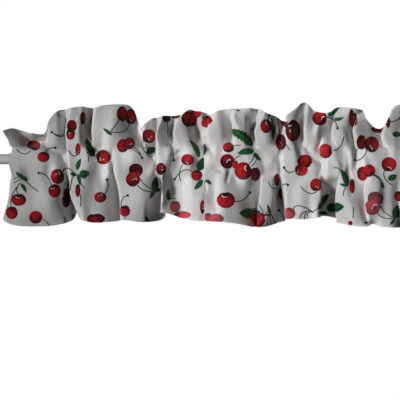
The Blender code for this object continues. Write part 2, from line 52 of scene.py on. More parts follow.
SLEEVE_D = 0.023        # tube that the cloth is gathered on
ROD_CLEAR = 0.0020      # least air between that tube and the cloth
TOP_R = 0.0016          # radius of the fold along the header's top
SEAM_GAP = 2.4          # mm between front and back cloth at the two seams
HEAD_GAP = 5.0          # mm between them half-way up the header
OPENING = 0.52          # how far a fold has opened a third of the way from a seam
SEAM_H = 9.5            # least height of the header seam over the rod's axis, steps
SEAM_U = 204.0          # fold line at which the two widths are sewn together
N_SKIRT, N_POCKET, N_HEAD, N_BEHIND, N_TOP = 46, 26, 36, 12, 8
N_LEFT, N_RIGHT = 300, 330

CAMERA = (0.45, -2.234, -0.082)
LENS, SENSOR, FRAME = 100.0, 36.0, 400.0

# ---------------------------------------------------------------- fold tables
# Every row is one gather or fold line, from left to right.  u numbers the
# fold lines; x and h are in steps (h above the rod's axis), d is the depth in
# millimetres in front of the rod's axis.

# pocket: header seam, over the rod, pocket seam
#   u      x_hs   h_hs  d_hs  x_ro   d_ro  x_ps   h_ps  d_ps
POCKET = [
    (  3.0,   14.0, 10.0,  30.0,   10.7,  31.0,   13.2, -17.0,  32.0),
    ( 10.0,   20.0, 10.0,  30.0,   18.0,  31.0,   20.0, -17.5,  32.0),
    ( 25.0,   30.0, 10.0,  30.0,   28.0,  31.0,   30.0, -18.0,  22.1),
    ( 40.0,   42.0, 10.0,  30.0,   42.0,  31.0,   42.0, -18.0,  19.9),
    ( 50.0,   50.0, 10.0,  24.6,   50.0,  27.7,   50.0, -17.0,  14.5),
    ( 57.0,   57.0, 10.0,  20.7,   57.0,  25.5,   57.0, -16.0,  26.5),
    ( 63.0,   63.5, 10.0,  11.9,   63.3,  17.7,   63.5, -15.5,  16.4),
    ( 67.0,   67.0, 10.0,   2.0,   67.0,  14.2,   67.0, -15.0,   2.0),
    ( 70.5,   68.0, 10.0,  30.0,   67.6,  31.0,   68.4, -15.0,  32.0),
    ( 76.0,   76.0, 10.0,  28.9,   76.0,  26.7,   76.0, -15.0,  28.4),
    ( 82.0,   82.0, 10.0,  29.9,   82.0,  25.0,   82.0, -15.0,  26.0),
    ( 88.0,   87.5, 10.0,  29.4,   88.0,  25.0,   88.0, -15.0,  21.0),
    ( 93.0,   93.0, 10.0,   9.9,   94.0,  20.5,   93.0, -15.0,  15.0),
    (102.0,  102.0, 10.0,   6.7,  102.0,  14.2,  103.0, -15.0,   6.0),
    (109.0,  109.0, 10.0,  30.0,  109.3,  20.0,  110.0, -15.0,  18.0),
    (113.0,  112.5, 10.0,  30.0,  113.0,  14.2,  114.0, -15.0,   2.0),
    (117.0,  116.0, 10.0,  30.0,  113.4,  31.0,  114.8, -15.0,  32.0),
    (125.0,  125.0, 10.0,  30.0,  125.0,  29.1,  126.0, -15.0,  28.0),
    (135.0,  134.0, 10.0,  30.0,  135.0,  31.0,  136.0, -15.0,  20.4),
    (146.0,  146.0, 10.0,  28.3,  146.0,  24.2,  146.0, -15.0,  17.3),
    (152.5,  152.5, 10.0,   7.7,  152.7,  16.8,  152.0, -15.0,  13.9),
    (156.0,  155.8, 10.0,   2.0,  156.0,  14.2,  155.5, -15.0,   2.0),
    (159.0,  155.9, 10.0,  30.0,  156.1,  31.0,  155.8, -15.0,  32.0),
    (165.0,  165.0, 10.0,  26.8,  164.5,  31.0,  163.0, -15.0,  32.0),
    (169.0,  169.0, 10.0,  26.9,  168.3,  29.9,  167.0, -15.0,  21.1),
    (173.0,  173.0, 10.0,  22.8,  172.0,  24.1,  171.0, -15.0,  14.3),
    (180.0,  180.0, 10.0,  24.1,  180.0,  16.5,  179.0, -15.0,  10.8),
    (190.0,  190.0, 10.0,  30.0,  190.0,  29.2,  190.0, -15.0,  12.1),
    (198.0,  198.0, 10.0,  26.8,  198.0,  16.1,  198.0, -15.0,   4.8),
    (204.0,  204.0, 10.0,  22.6,  204.0,  14.2,  204.3, -15.0,   2.0),
    (210.0,  210.0, 10.0,  11.4,  210.0,  29.4,  203.9, -14.5,  32.0),
    (216.0,  216.0, 10.0,  24.0,  216.0,  30.8,  216.0, -13.0,  32.0),
    (222.0,  222.0, 10.0,  22.9,  222.0,  30.0,  223.0, -13.0,  32.0),
    (228.0,  228.0, 10.0,  30.0,  228.0,  31.0,  228.5, -14.5,  25.9),
    (236.0,  236.0, 10.0,  30.0,  237.0,  31.0,  236.0, -17.5,  19.1),
    (246.0,  246.0, 10.0,  30.0,  246.0,  31.0,  246.0, -19.0,  30.2),
    (254.0,  254.0, 10.0,  18.3,  254.0,  29.1,  254.0, -17.5,  24.0),
    (262.0,  262.0, 10.0,  16.3,  262.0,  22.9,  262.0, -16.0,  16.2),
    (271.0,  271.0, 10.0,  11.9,  271.0,  24.5,  271.0, -15.5,  10.5),
    (278.0,  278.0, 10.0,  10.5,  278.0,  17.0,  277.5, -15.0,   7.2),
    (281.5,  281.5, 10.0,   2.0,  281.3,  14.2,  281.0, -15.0,   2.0),
    (285.0,  280.4, 10.0,  30.0,  280.4,  31.0,  279.6, -15.0,  32.0),
    (292.0,  292.0, 10.0,  29.4,  293.0,  31.0,  293.0, -15.0,  29.2),
    (299.0,  299.0, 10.0,  14.0,  301.0,  20.0,  301.0, -15.0,  25.9),
    (306.0,  306.0, 10.0,   6.0,  308.0,  18.0,  309.0, -15.0,  27.1),
    (313.0,  313.0, 10.0,  10.8,  315.0,  14.5,  315.0, -15.0,  25.7),
    (320.0,  319.0, 10.0,   7.0,  322.0,  14.2,  320.5, -14.5,  19.6),
    (326.0,  325.0, 10.0,  30.0,  326.5,  31.0,  326.5, -18.5,  32.0),
    (332.0,  332.0, 10.0,  30.0,  333.0,  31.0,  333.0, -18.5,  29.7),
    (338.0,  338.0, 10.0,  25.5,  338.0,  29.9,  338.0, -16.0,  32.0),
    (344.0,  343.0, 10.0,  22.9,  343.5,  26.9,  343.0, -15.0,  30.0),
    (350.0,  350.0, 10.0,  25.1,  350.0,  27.3,  349.0, -15.0,  19.9),
    (356.0,  356.0, 10.0,   4.7,  357.0,  14.2,  356.0, -15.0,  18.9),
    (363.0,  363.0, 10.0,  27.9,  364.0,  30.6,  364.0, -15.0,  32.0),
    (370.0,  369.0, 10.0,  27.5,  371.0,  31.0,  372.0, -15.0,  31.4),
    (377.0,  377.0, 10.0,  21.6,  378.0,  28.4,  378.0, -15.0,  26.9),
    (385.0,  385.0, 10.0,  19.7,  386.0,  22.0,  386.0, -15.0,  24.1),
    (393.0,  393.0, 10.0,  21.0,  393.0,  20.1,  393.0, -15.0,  20.5),
    (401.0,  401.0, 10.0,  13.5,  401.0,  16.0,  401.0, -15.0,  13.6),
    (409.0,  409.0, 10.0,  14.9,  409.0,  16.2,  409.0, -15.0,  14.9),
    (417.0,  417.0, 10.0,  25.1,  417.0,  26.2,  417.0, -15.0,  25.7),
    (424.0,  424.0, 10.0,  22.7,  424.0,  23.8,  424.0, -15.0,  23.3),
    (430.0,  429.0, 10.0,  13.0,  431.0,  16.9,  430.0, -16.0,  14.6),
]

# header: half-way up, and its top fold
#   u      x_mid  d_mid  x_top  h_top  d_top
HEADER = [
    (  3.0,    9.3,  26.0,    4.5, 28.0,  28.0),
    (  8.0,   14.5,  20.9,   12.0, 30.5,  13.9),
    ( 16.0,   21.5,   8.9,   20.0, 28.7,   2.8),
    ( 23.0,   27.5, -14.0,   28.0, 26.4,  11.0),
    ( 28.0,   32.5, -14.0,   33.0, 25.4,  23.2),
    ( 37.0,   40.5,  -2.4,   40.0, 24.5,  13.5),
    ( 44.0,   45.8,  -3.4,   45.0, 26.5,   9.7),
    ( 49.0,   50.0,  14.8,   49.8, 38.5,  21.4),
    ( 55.0,   55.5,  15.7,   56.0, 46.2,  20.9),
    ( 60.0,   60.5,   7.8,   61.0, 48.7,  13.2),
    ( 65.0,   65.0, -14.0,   66.0, 49.4,   9.7),
    ( 71.0,   67.1,  26.0,   72.0, 50.4,  28.0),
    ( 78.0,   78.5,  25.9,   79.0, 51.5,  23.5),
    ( 82.5,   82.5,  15.6,   83.5, 52.0,  20.8),
    ( 86.5,   86.5, -11.9,   87.5, 51.8,  -0.9),
    ( 91.0,   91.0, -14.0,   92.0, 51.2,  -3.9),
    ( 95.0,   92.7,  26.0,   95.5, 51.0,  24.1),
    (103.0,  103.0,  25.1,  104.0, 53.3,  19.9),
    (111.0,  112.0,  26.0,  113.0, 54.2,  16.8),
    (118.0,  119.0,  19.0,  120.5, 54.6,  13.6),
    (126.0,  126.5,   5.2,  128.5, 53.7,   5.5),
    (133.0,  133.0,  -6.9,  134.0, 48.0,  -4.5),
    (139.0,  138.5, -14.0,  137.3, 38.0, -14.5),
    (143.0,  142.5, -14.0,  140.5, 31.7,  -8.1),
    (147.0,  142.6,   4.9,  146.0, 36.0,  19.1),
    (152.0,  152.0,  -2.3,  152.0, 40.2,  19.1),
    (156.0,  156.0, -14.0,  157.0, 41.0,   8.8),
    (160.0,  156.3,  26.0,  162.0, 42.2,  25.8),
    (165.0,  166.0,   9.8,  166.8, 42.9,  18.0),
    (167.5,  167.9, -11.6,  168.6, 43.0,  11.8),
    (170.0,  169.6, -14.0,  170.5, 43.0,   8.7),
    (174.0,  173.0, -14.0,  174.0, 43.1,   4.2),
    (180.0,  173.2,  26.0,  180.0, 43.2,  28.0),
    (186.0,  185.5,  20.0,  184.5, 45.6,  26.6),
    (191.0,  190.5,  11.0,  189.0, 48.8,  22.2),
    (196.0,  195.5, -13.3,  196.0, 47.7,  13.7),
    (200.0,  200.0, -14.0,  200.5, 46.9,  25.9),
    (204.0,  199.7, -12.0,  204.0, 46.0,  21.4),
    (208.0,  207.7, -14.0,  207.5, 44.8,  16.8),
    (212.0,  207.3,  23.2,  210.7, 43.5,  17.2),
    (216.0,  217.0,  21.5,  216.0, 46.9,  24.9),
    (221.0,  222.0,  17.4,  221.5, 48.4,  21.5),
    (226.0,  227.3,   3.9,  225.5, 49.0,  20.3),
    (231.0,  233.0, -13.3,  229.7, 49.3,  24.1),
    (237.0,  232.1,  26.0,  235.0, 49.6,  27.1),
    (243.0,  245.0,  23.1,  241.5, 49.8,  24.6),
    (249.0,  250.3, -12.8,  249.5, 50.1,  27.8),
    (255.0,  255.8, -14.0,  257.5, 50.1,   6.4),
    (260.0,  254.5,  26.0,  263.0, 46.6,  26.7),
    (266.0,  267.0,  22.9,  269.0, 44.5,  18.7),
    (272.0,  273.0,  11.2,  275.0, 43.0,   6.5),
    (277.0,  277.5,  -4.2,  279.0, 41.3,  -7.0),
    (281.5,  281.2, -14.0,  283.2, 39.0, -15.0),
    (285.0,  285.0,  18.0,  287.0, 38.2,  -8.0),
    (290.0,  290.7,  24.2,  285.3, 41.8,  19.3),
    (295.0,  295.5,   6.2,  296.0, 51.0,  14.8),
    (299.5,  299.8, -14.0,  301.0, 55.5,   9.6),
    (303.0,  305.0, -14.0,  305.5, 56.8,   0.0),
    (307.0,  303.5,  26.0,  309.3, 54.0,   2.0),
    (312.0,  312.0,  21.7,  314.5, 49.0,   0.0),
    (317.0,  317.3,  20.9,  320.0, 46.7,   5.0),
    (322.0,  322.5,   8.5,  326.0, 45.9,  11.0),
    (327.0,  328.0,  -3.6,  331.0, 47.2,  11.0),
    (333.0,  334.0, -14.0,  336.0, 51.0,   6.2),
    (338.0,  331.3,  26.0,  341.0, 52.0,   5.3),
    (344.0,  345.0,  21.9,  346.0, 51.6,  12.1),
    (349.0,  350.0,   7.9,  351.0, 50.9,  14.5),
    (354.0,  355.0, -11.1,  357.0, 50.0,  10.7),
    (360.0,  352.4,  26.0,  363.5, 49.2,  -5.6),
    (366.0,  367.5,  13.1,  366.3, 41.0,   3.4),
    (372.0,  373.0,   6.6,  372.0, 34.7,  -0.8),
    (379.0,  379.0,  -2.4,  379.0, 30.9,  -9.9),
    (384.0,  384.0, -13.0,  384.5, 31.5, -15.0),
    (388.0,  381.3,  17.9,  388.2, 40.0,  10.9),
    (392.0,  392.0,  11.1,  392.0, 49.5,  16.5),
    (398.0,  398.0,   1.7,  398.0, 53.8,  16.1),
    (405.0,  405.0, -10.0,  405.0, 52.8,   9.0),
    (411.0,  411.0,   8.0,  412.0, 50.5,  11.9),
    (418.0,  418.0,  13.0,  419.0, 50.0,  12.8),
    (425.0,  425.0,   6.5,  426.0, 50.5,   9.1),
    (430.0,  430.5,   3.6,  431.0, 49.5,   6.5),
]

# skirt: half-way down, and the hem
#   u      x_mid  d_mid  x_hem  h_hem  d_hem
SKIRT = [
    (  3.0,    9.7,  20.4,    3.3, -58.5,  10.1),
    (  6.0,   12.5,  34.0,    6.5, -61.8,  34.0),
    ( 11.0,   17.0,  34.0,   12.5, -65.0,  34.0),
    ( 19.0,   25.0,  34.0,   22.0, -66.8,  33.1),
    ( 30.0,   36.0,  31.8,   35.0, -67.3,  24.8),
    ( 40.0,   45.5,  32.2,   47.0, -67.1,  17.1),
    ( 49.0,   53.5,  28.2,   57.0, -66.0,  10.8),
    ( 56.0,   60.5,  10.1,   66.0, -63.8,   2.1),
    ( 61.0,   63.0, -29.3,   70.5, -61.5, -21.2),
    ( 65.0,   66.6, -30.0,   73.5, -57.5, -28.0),
    ( 67.0,   67.8, -30.0,   74.6, -53.3, -28.0),
    ( 69.5,   68.8, -26.5,   76.2, -53.6, -28.0),
    ( 73.0,   72.4,  34.0,   78.8, -58.0,   8.0),
    ( 80.0,   81.0,  33.4,   84.3, -61.6,  20.6),
    ( 87.0,   88.0,  26.4,   94.0, -63.6,  10.4),
    ( 93.0,   94.5,  19.8,  100.0, -63.6,  11.7),
    (100.0,  101.5,  14.3,  105.0, -63.2,   6.9),
    (105.0,  107.0,   3.6,  110.5, -62.8,  -2.0),
    (109.0,  112.0, -26.8,  115.5, -62.4, -24.0),
    (111.5,  116.0, -29.9,  117.5, -62.0, -28.0),
    (113.3,  120.3, -29.1,  121.3, -61.6, -26.7),
    (115.2,  118.9, -14.2,  119.8, -61.4,  -6.0),
    (118.0,  121.0,  34.0,  122.0, -61.0,  29.0),
    (126.0,  129.0,  33.1,  130.0, -61.3,  25.2),
    (134.0,  137.0,  32.4,  138.0, -62.8,  19.5),
    (141.0,  143.5,  29.6,  144.5, -63.0,  13.3),
    (145.5,  147.2,  25.5,  147.5, -63.0,   3.3),
    (149.5,  151.5,  15.0,  152.0, -62.7,  -4.5),
    (153.5,  158.0, -29.8,  160.0, -61.3, -21.2),
    (157.0,  165.5, -30.0,  165.0, -57.0, -28.0),
    (160.0,  165.4, -25.7,  164.9, -53.5, -19.2),
    (163.0,  166.0,   5.3,  164.5, -52.5,   5.8),
    (166.0,  162.3,  34.0,  160.5, -52.5,  -4.3),
    (169.0,  164.3,  31.8,  160.8, -53.2,  34.0),
    (174.0,  171.0,   6.2,  170.0, -54.6,  30.5),
    (183.0,  182.0,   4.0,  181.0, -58.8,  14.5),
    (193.0,  193.0,  30.6,  193.0, -61.2,  20.8),
    (199.0,  199.5,  31.2,  199.5, -61.9,  23.8),
    (204.0,  204.3,  29.2,  204.6, -62.1,  22.2),
    (208.0,  208.5,  25.9,  209.0, -62.2,  28.1),
    (214.0,  215.0,  21.7,  216.0, -62.4,  34.0),
    (219.0,  220.0,  34.0,  221.0, -62.7,  34.0),
    (222.0,  223.0,  34.0,  224.5, -63.0,  33.1),
    (228.0,  229.0,  30.4,  232.0, -63.8,  25.7),
    (238.0,  239.0,  20.1,  243.0, -65.9,  13.8),
    (248.0,  249.0,  -3.3,  252.0, -67.8,  -2.7),
    (255.0,  256.0, -30.0,  258.0, -68.2, -28.0),
    (260.0,  261.0, -30.0,  256.3, -68.0,  32.9),
    (264.0,  259.0,  34.0,  266.0, -67.5,  12.4),
    (269.0,  269.5,  31.7,  270.5, -66.4,   2.7),
    (273.0,  273.5,  19.0,  274.5, -65.4, -15.4),
    (277.0,  278.5, -26.6,  280.0, -63.7, -15.7),
    (280.0,  285.0, -29.4,  287.5, -61.5, -28.0),
    (282.0,  285.5, -27.2,  286.5, -60.7, -11.3),
    (284.0,  283.5, -16.6,  286.5, -60.6,   1.5),
    (287.0,  285.0,  33.1,  285.1, -60.3,  34.0),
    (292.0,  291.0,  31.9,  292.5, -59.6,  33.6),
    (300.0,  300.0,  33.9,  301.0, -60.2,  32.5),
    (309.0,  309.5,  29.2,  310.0, -59.4,  27.2),
    (315.0,  316.0,  29.1,  316.5, -58.4,  34.0),
    (318.5,  319.8,  28.2,  319.5, -57.8,  19.2),
    (321.5,  322.5,  -4.0,  322.5, -57.1,  -6.0),
    (325.5,  328.0, -30.0,  328.0, -57.3, -26.0),
    (330.0,  335.0, -30.0,  335.0, -58.6, -28.0),
    (333.0,  341.3, -28.1,  341.0, -61.0, -25.5),
    (335.0,  340.1, -17.7,  339.4, -61.6,  -7.2),
    (337.0,  337.4,  -7.6,  337.5, -61.7,  -1.0),
    (340.0,  334.5,  31.0,  335.5, -63.2,  28.0),
    (346.0,  346.0,  31.3,  347.0, -65.6,  27.9),
    (351.0,  351.5,  27.4,  353.0, -66.8,  32.2),
    (357.0,  358.0,  18.4,  360.0, -67.3,  32.1),
    (364.0,  365.0,   2.4,  367.0, -66.8,  26.6),
    (370.0,  363.2,  33.7,  371.5, -64.8,  15.8),
    (375.0,  376.0,  31.2,  375.5, -65.6,   9.2),
    (382.0,  383.0,  17.2,  383.0, -67.9,  14.0),
    (391.0,  392.0,   8.7,  392.0, -68.5,  13.3),
    (399.0,  400.0,  -6.5,  400.0, -69.0, -28.0),
    (407.0,  408.0,   2.5,  409.0, -68.5,  -5.7),
    (415.0,  416.0,  16.3,  417.0, -67.5,  16.6),
    (423.0,  424.0,  19.9,  425.0, -66.5,  21.2),
    (428.0,  429.0,  10.2,  431.0, -65.5,  11.6),
    (430.0,  430.0,   0.3,  432.0, -65.0,   1.7),
]


def hermite(table, column, u):
    """Smooth curve through one column of a table, as a function of u.  Its
    slope is held down beside short steps, so that a fold's edge stays crisp."""
    rows = np.array(table, dtype=float)
    k, f = rows[:, 0], rows[:, column]
    rate = np.diff(f) / np.diff(k)
    m = np.empty_like(f)
    m[1:-1] = (f[2:] - f[:-2]) / (k[2:] - k[:-2])
    m[0], m[-1] = rate[0], rate[-1]
    least = np.minimum(abs(rate[1:]), abs(rate[:-1]))
    most = np.where(rate[1:] * rate[:-1] > 0, 3.0, 1.0) * least
    m[1:-1] = np.clip(m[1:-1], -most, most)
    i = np.clip(np.searchsorted(k, u, side='right') - 1, 0, len(k) - 2)
    w = k[i + 1] - k[i]
    t = (u - k[i]) / w
    return ((1 + 2 * t) * (1 - t) ** 2 * f[i] + t * (1 - t) ** 2 * w * m[i]
            + t * t * (3 - 2 * t) * f[i + 1] - t * t * (1 - t) * w * m[i + 1])


def rise(level, knots, t):
    """Smooth curve up the sheet: knots is (u, level), t the stations wanted."""
    m = np.empty_like(knots)
    m[:, 1:-1] = (knots[:, 2:] - knots[:, :-2]) / (level[2:] - level[:-2])
    m[:, 0] = (knots[:, 1] - knots[:, 0]) / level[1]
    m[:, -1] = (knots[:, -1] - knots[:, -2]) / (level[-1] - level[-2])
    i = np.clip(np.searchsorted(level, t, side='right') - 1, 0, len(level) - 2)
    w = level[i + 1] - level[i]
    s = (t - level[i]) / w
    return ((1 + 2 * s) * (1 - s) ** 2 * knots[:, i] + s * (1 - s) ** 2 * w * m[:, i]
            + s * s * (3 - 2 * s) * knots[:, i + 1] - s * s * (1 - s) * w * m[:, i + 1])


# ---------------------------------------------------------------- small relief
# Creases and swells that the fold tables are too coarse for, each a soft line
# from (x0, y0) over (x1, y1) to (x2, y2) as the front is looked at, in steps
# from the picture's top left corner.  lift is in mm towards the viewer (a
# crease is negative); left and right are the widths of its two flanks.
#   lift left right   x0     y0     x1     y1     x2     y2
CREASES = [
    (-4.2, 2.2, 3.0,  43.0, 147.5,  56.0, 152.5,  66.0, 156.0),
    (-4.5, 3.0, 1.3,  66.0, 146.0,  67.5, 165.0,  68.5, 186.0),
    ( 2.2, 3.5, 2.5,  12.0, 150.0,  28.0, 151.5,  44.0, 150.0),
    (-5.0, 4.2, 1.8, 110.5, 148.0, 113.5, 165.0, 113.0, 184.0),
    (-4.5, 3.0, 1.5, 155.5, 138.0, 156.5, 155.0, 157.5, 176.0),
    (-2.8, 1.5, 2.6, 170.0, 160.0, 177.0, 153.5, 185.0, 151.0),
    (-6.5, 7.0, 2.2, 189.0, 116.0, 197.5, 134.0, 204.0, 150.0),
    (-3.4, 1.6, 2.6, 209.0, 171.5, 217.0, 168.5, 223.5, 177.0),
    (-3.6, 2.0, 2.0, 230.0, 168.0, 228.0, 176.0, 225.0, 185.0),
    ( 4.0, 3.5, 3.5, 226.0, 108.0, 235.0, 122.0, 244.0, 138.0),
    (-4.5, 2.6, 1.3, 280.5, 146.0, 280.8, 165.0, 281.2, 184.0),
    ( 4.2, 3.0, 3.0, 301.0, 140.0, 307.0, 156.0, 320.0, 170.0),
    (-4.2, 2.0, 1.6, 319.5, 146.0, 321.5, 160.0, 323.0, 176.0),
    ( 3.6, 2.6, 2.6, 315.5, 142.0, 321.0, 122.0, 335.0, 128.0),
    (-4.2, 3.0, 2.4, 344.5, 120.0, 349.0, 138.0, 354.0, 153.0),
    ( 3.8, 4.0, 3.0, 353.0, 150.0, 364.0, 161.0, 374.0, 186.0),
    (-3.0, 3.0, 1.8, 347.0, 148.0, 349.5, 175.0, 350.5, 205.0),
    ( 3.2, 2.4, 2.0, 318.0, 171.5, 326.0, 178.0, 337.0, 180.0),
]

# rounded swells (or hollows): lift in mm, middle, half-widths, turn in degrees
#   lift   x      y     rx    ry   turn
SWELLS = [
    (-2.4,  62.5, 159.0,  3.2,  2.8,   0),
    ( 3.6,  86.0, 174.0,  5.5, 13.0,   0),
    ( 3.6, 106.0, 176.0,  4.0, 12.0,   0),
    (-2.6,  98.0, 170.0,  5.0, 10.0, -10),
    ( 3.0, 130.0, 158.0,  7.0,  9.0,   0),
    (-3.0, 152.0, 182.0,  5.0,  9.0,  30),
    ( 5.0, 244.0, 177.0, 11.0,  7.0,   5),
    (-3.0, 320.0, 141.0,  3.4,  9.0,  10),
    (-2.6, 331.0, 140.0,  3.4,  6.0,   0),
    (-3.0, 343.0, 165.0,  3.2,  7.0, -15),
    (-3.0, 300.0, 126.0,  4.0, 14.0,   0),
    ( 2.6, 364.0, 116.0,  3.5,  6.0,   0),
    (-8.0, 330.0, 188.0,  6.5,  7.0,   0),
]


def project(points):
    """Where points show in the picture, in its 400 x 400 frame."""
    reach = points[..., 1] - CAMERA[1]
    scale = LENS / SENSOR * FRAME / reach
    return (0.5 * FRAME + scale * (points[..., 0] - CAMERA[0]),
            0.5 * FRAME - scale * (points[..., 2] - CAMERA[2]))


def smooth(lo, hi, x):
    t = np.clip((x - lo) / (hi - lo), 0.0, 1.0)
    return t * t * (3 - 2 * t)


def relief(px, py):
    """Lift in mm at picture positions, from the creases and swells."""
    lift = np.zeros_like(px)
    for a, wl, wr, x0, y0, x1, y1, x2, y2 in CREASES:
        reach = 3.2 * max(wl, wr) + 2
        near = ((px > min(x0, x1, x2) - reach) & (px < max(x0, x1, x2) + reach)
                & (py > min(y0, y1, y2) - reach) & (py < max(y0, y1, y2) + reach))
        if not near.any():
            continue
        x, y = px[near], py[near]
        # a bent line through the three points, taken as 12 short ones
        t = np.linspace(0.0, 1.0, 13)
        lx = x0 * (1 - t) * (1 - 2 * t) + 4 * x1 * t * (1 - t) + x2 * t * (2 * t - 1)
        ly = y0 * (1 - t) * (1 - 2 * t) + 4 * y1 * t * (1 - t) + y2 * t * (2 * t - 1)
        best = np.full(x.shape, 1e9)
        along, side = np.zeros_like(x), np.zeros_like(x)
        for k in range(12):
            ex, ey = lx[k + 1] - lx[k], ly[k + 1] - ly[k]
            size = math.hypot(ex, ey) + 1e-9
            s = ((x - lx[k]) * ex + (y - ly[k]) * ey) / size ** 2
            c = np.clip(s, 0.0, 1.0)
            dist = np.hypot(x - lx[k] - c * ex, y - ly[k] - c * ey)
            cross = ((x - lx[k]) * ey - (y - ly[k]) * ex) / size
            closer = dist < best
            best = np.where(closer, dist, best)
            side = np.where(closer, np.sign(cross), side)
            along = np.where(closer, (k + c) / 12.0, along)
        # of a line drawn downwards, the left flank is where cross is negative
        width = np.where(side < 0, wl, wr)
        fade = smooth(0.0, 0.28, along) * smooth(0.0, 0.28, 1.0 - along)
        lift[near] += a * np.exp(-(best / width) ** 2) * fade
    for a, cx, cy, rx, ry, turn in SWELLS:
        c, s = math.cos(math.radians(turn)), math.sin(math.radians(turn))
        x, y = px - cx, py - cy
        q = ((x * c + y * s) / rx) ** 2 + ((y * c - x * s) / ry) ** 2
        lift += a * np.exp(-q)
    return lift


def ripple(s, t, seed):
    """Gentle unevenness of hanging cotton: a few long soft waves, from -1 to 1."""
    rng = np.random.default_rng(seed)
    out = np.zeros_like(s)
    for k in range(14):
        a = rng.uniform(-0.5, 0.5) + (math.pi / 2 if k % 4 == 0 else 0.0)
        wave = rng.uniform(0.011, 0.032)
        out += math.sin(1.7 * k) * np.sin(
            2 * math.pi * (s * math.cos(a) + t * math.sin(a)) / wave + rng.uniform(0, 6.28))
    return out / 4.0


def pucker(s, from_seam, seed):
    """Short ridges square to a gathered seam, dying out away from it."""
    rng = np.random.default_rng(seed)
    out = np.zeros_like(s)
    for k in range(9):
        wave = rng.uniform(0.0055, 0.0110)
        reach = rng.uniform(0.006, 0.017)
        sway = rng.uniform(-0.12, 0.12)
        out += np.sin(2 * math.pi * (s + sway * from_seam) / wave + rng.uniform(0, 6.28)) \
            * np.exp(-(from_seam / reach) ** 2)
    return out / 3.2


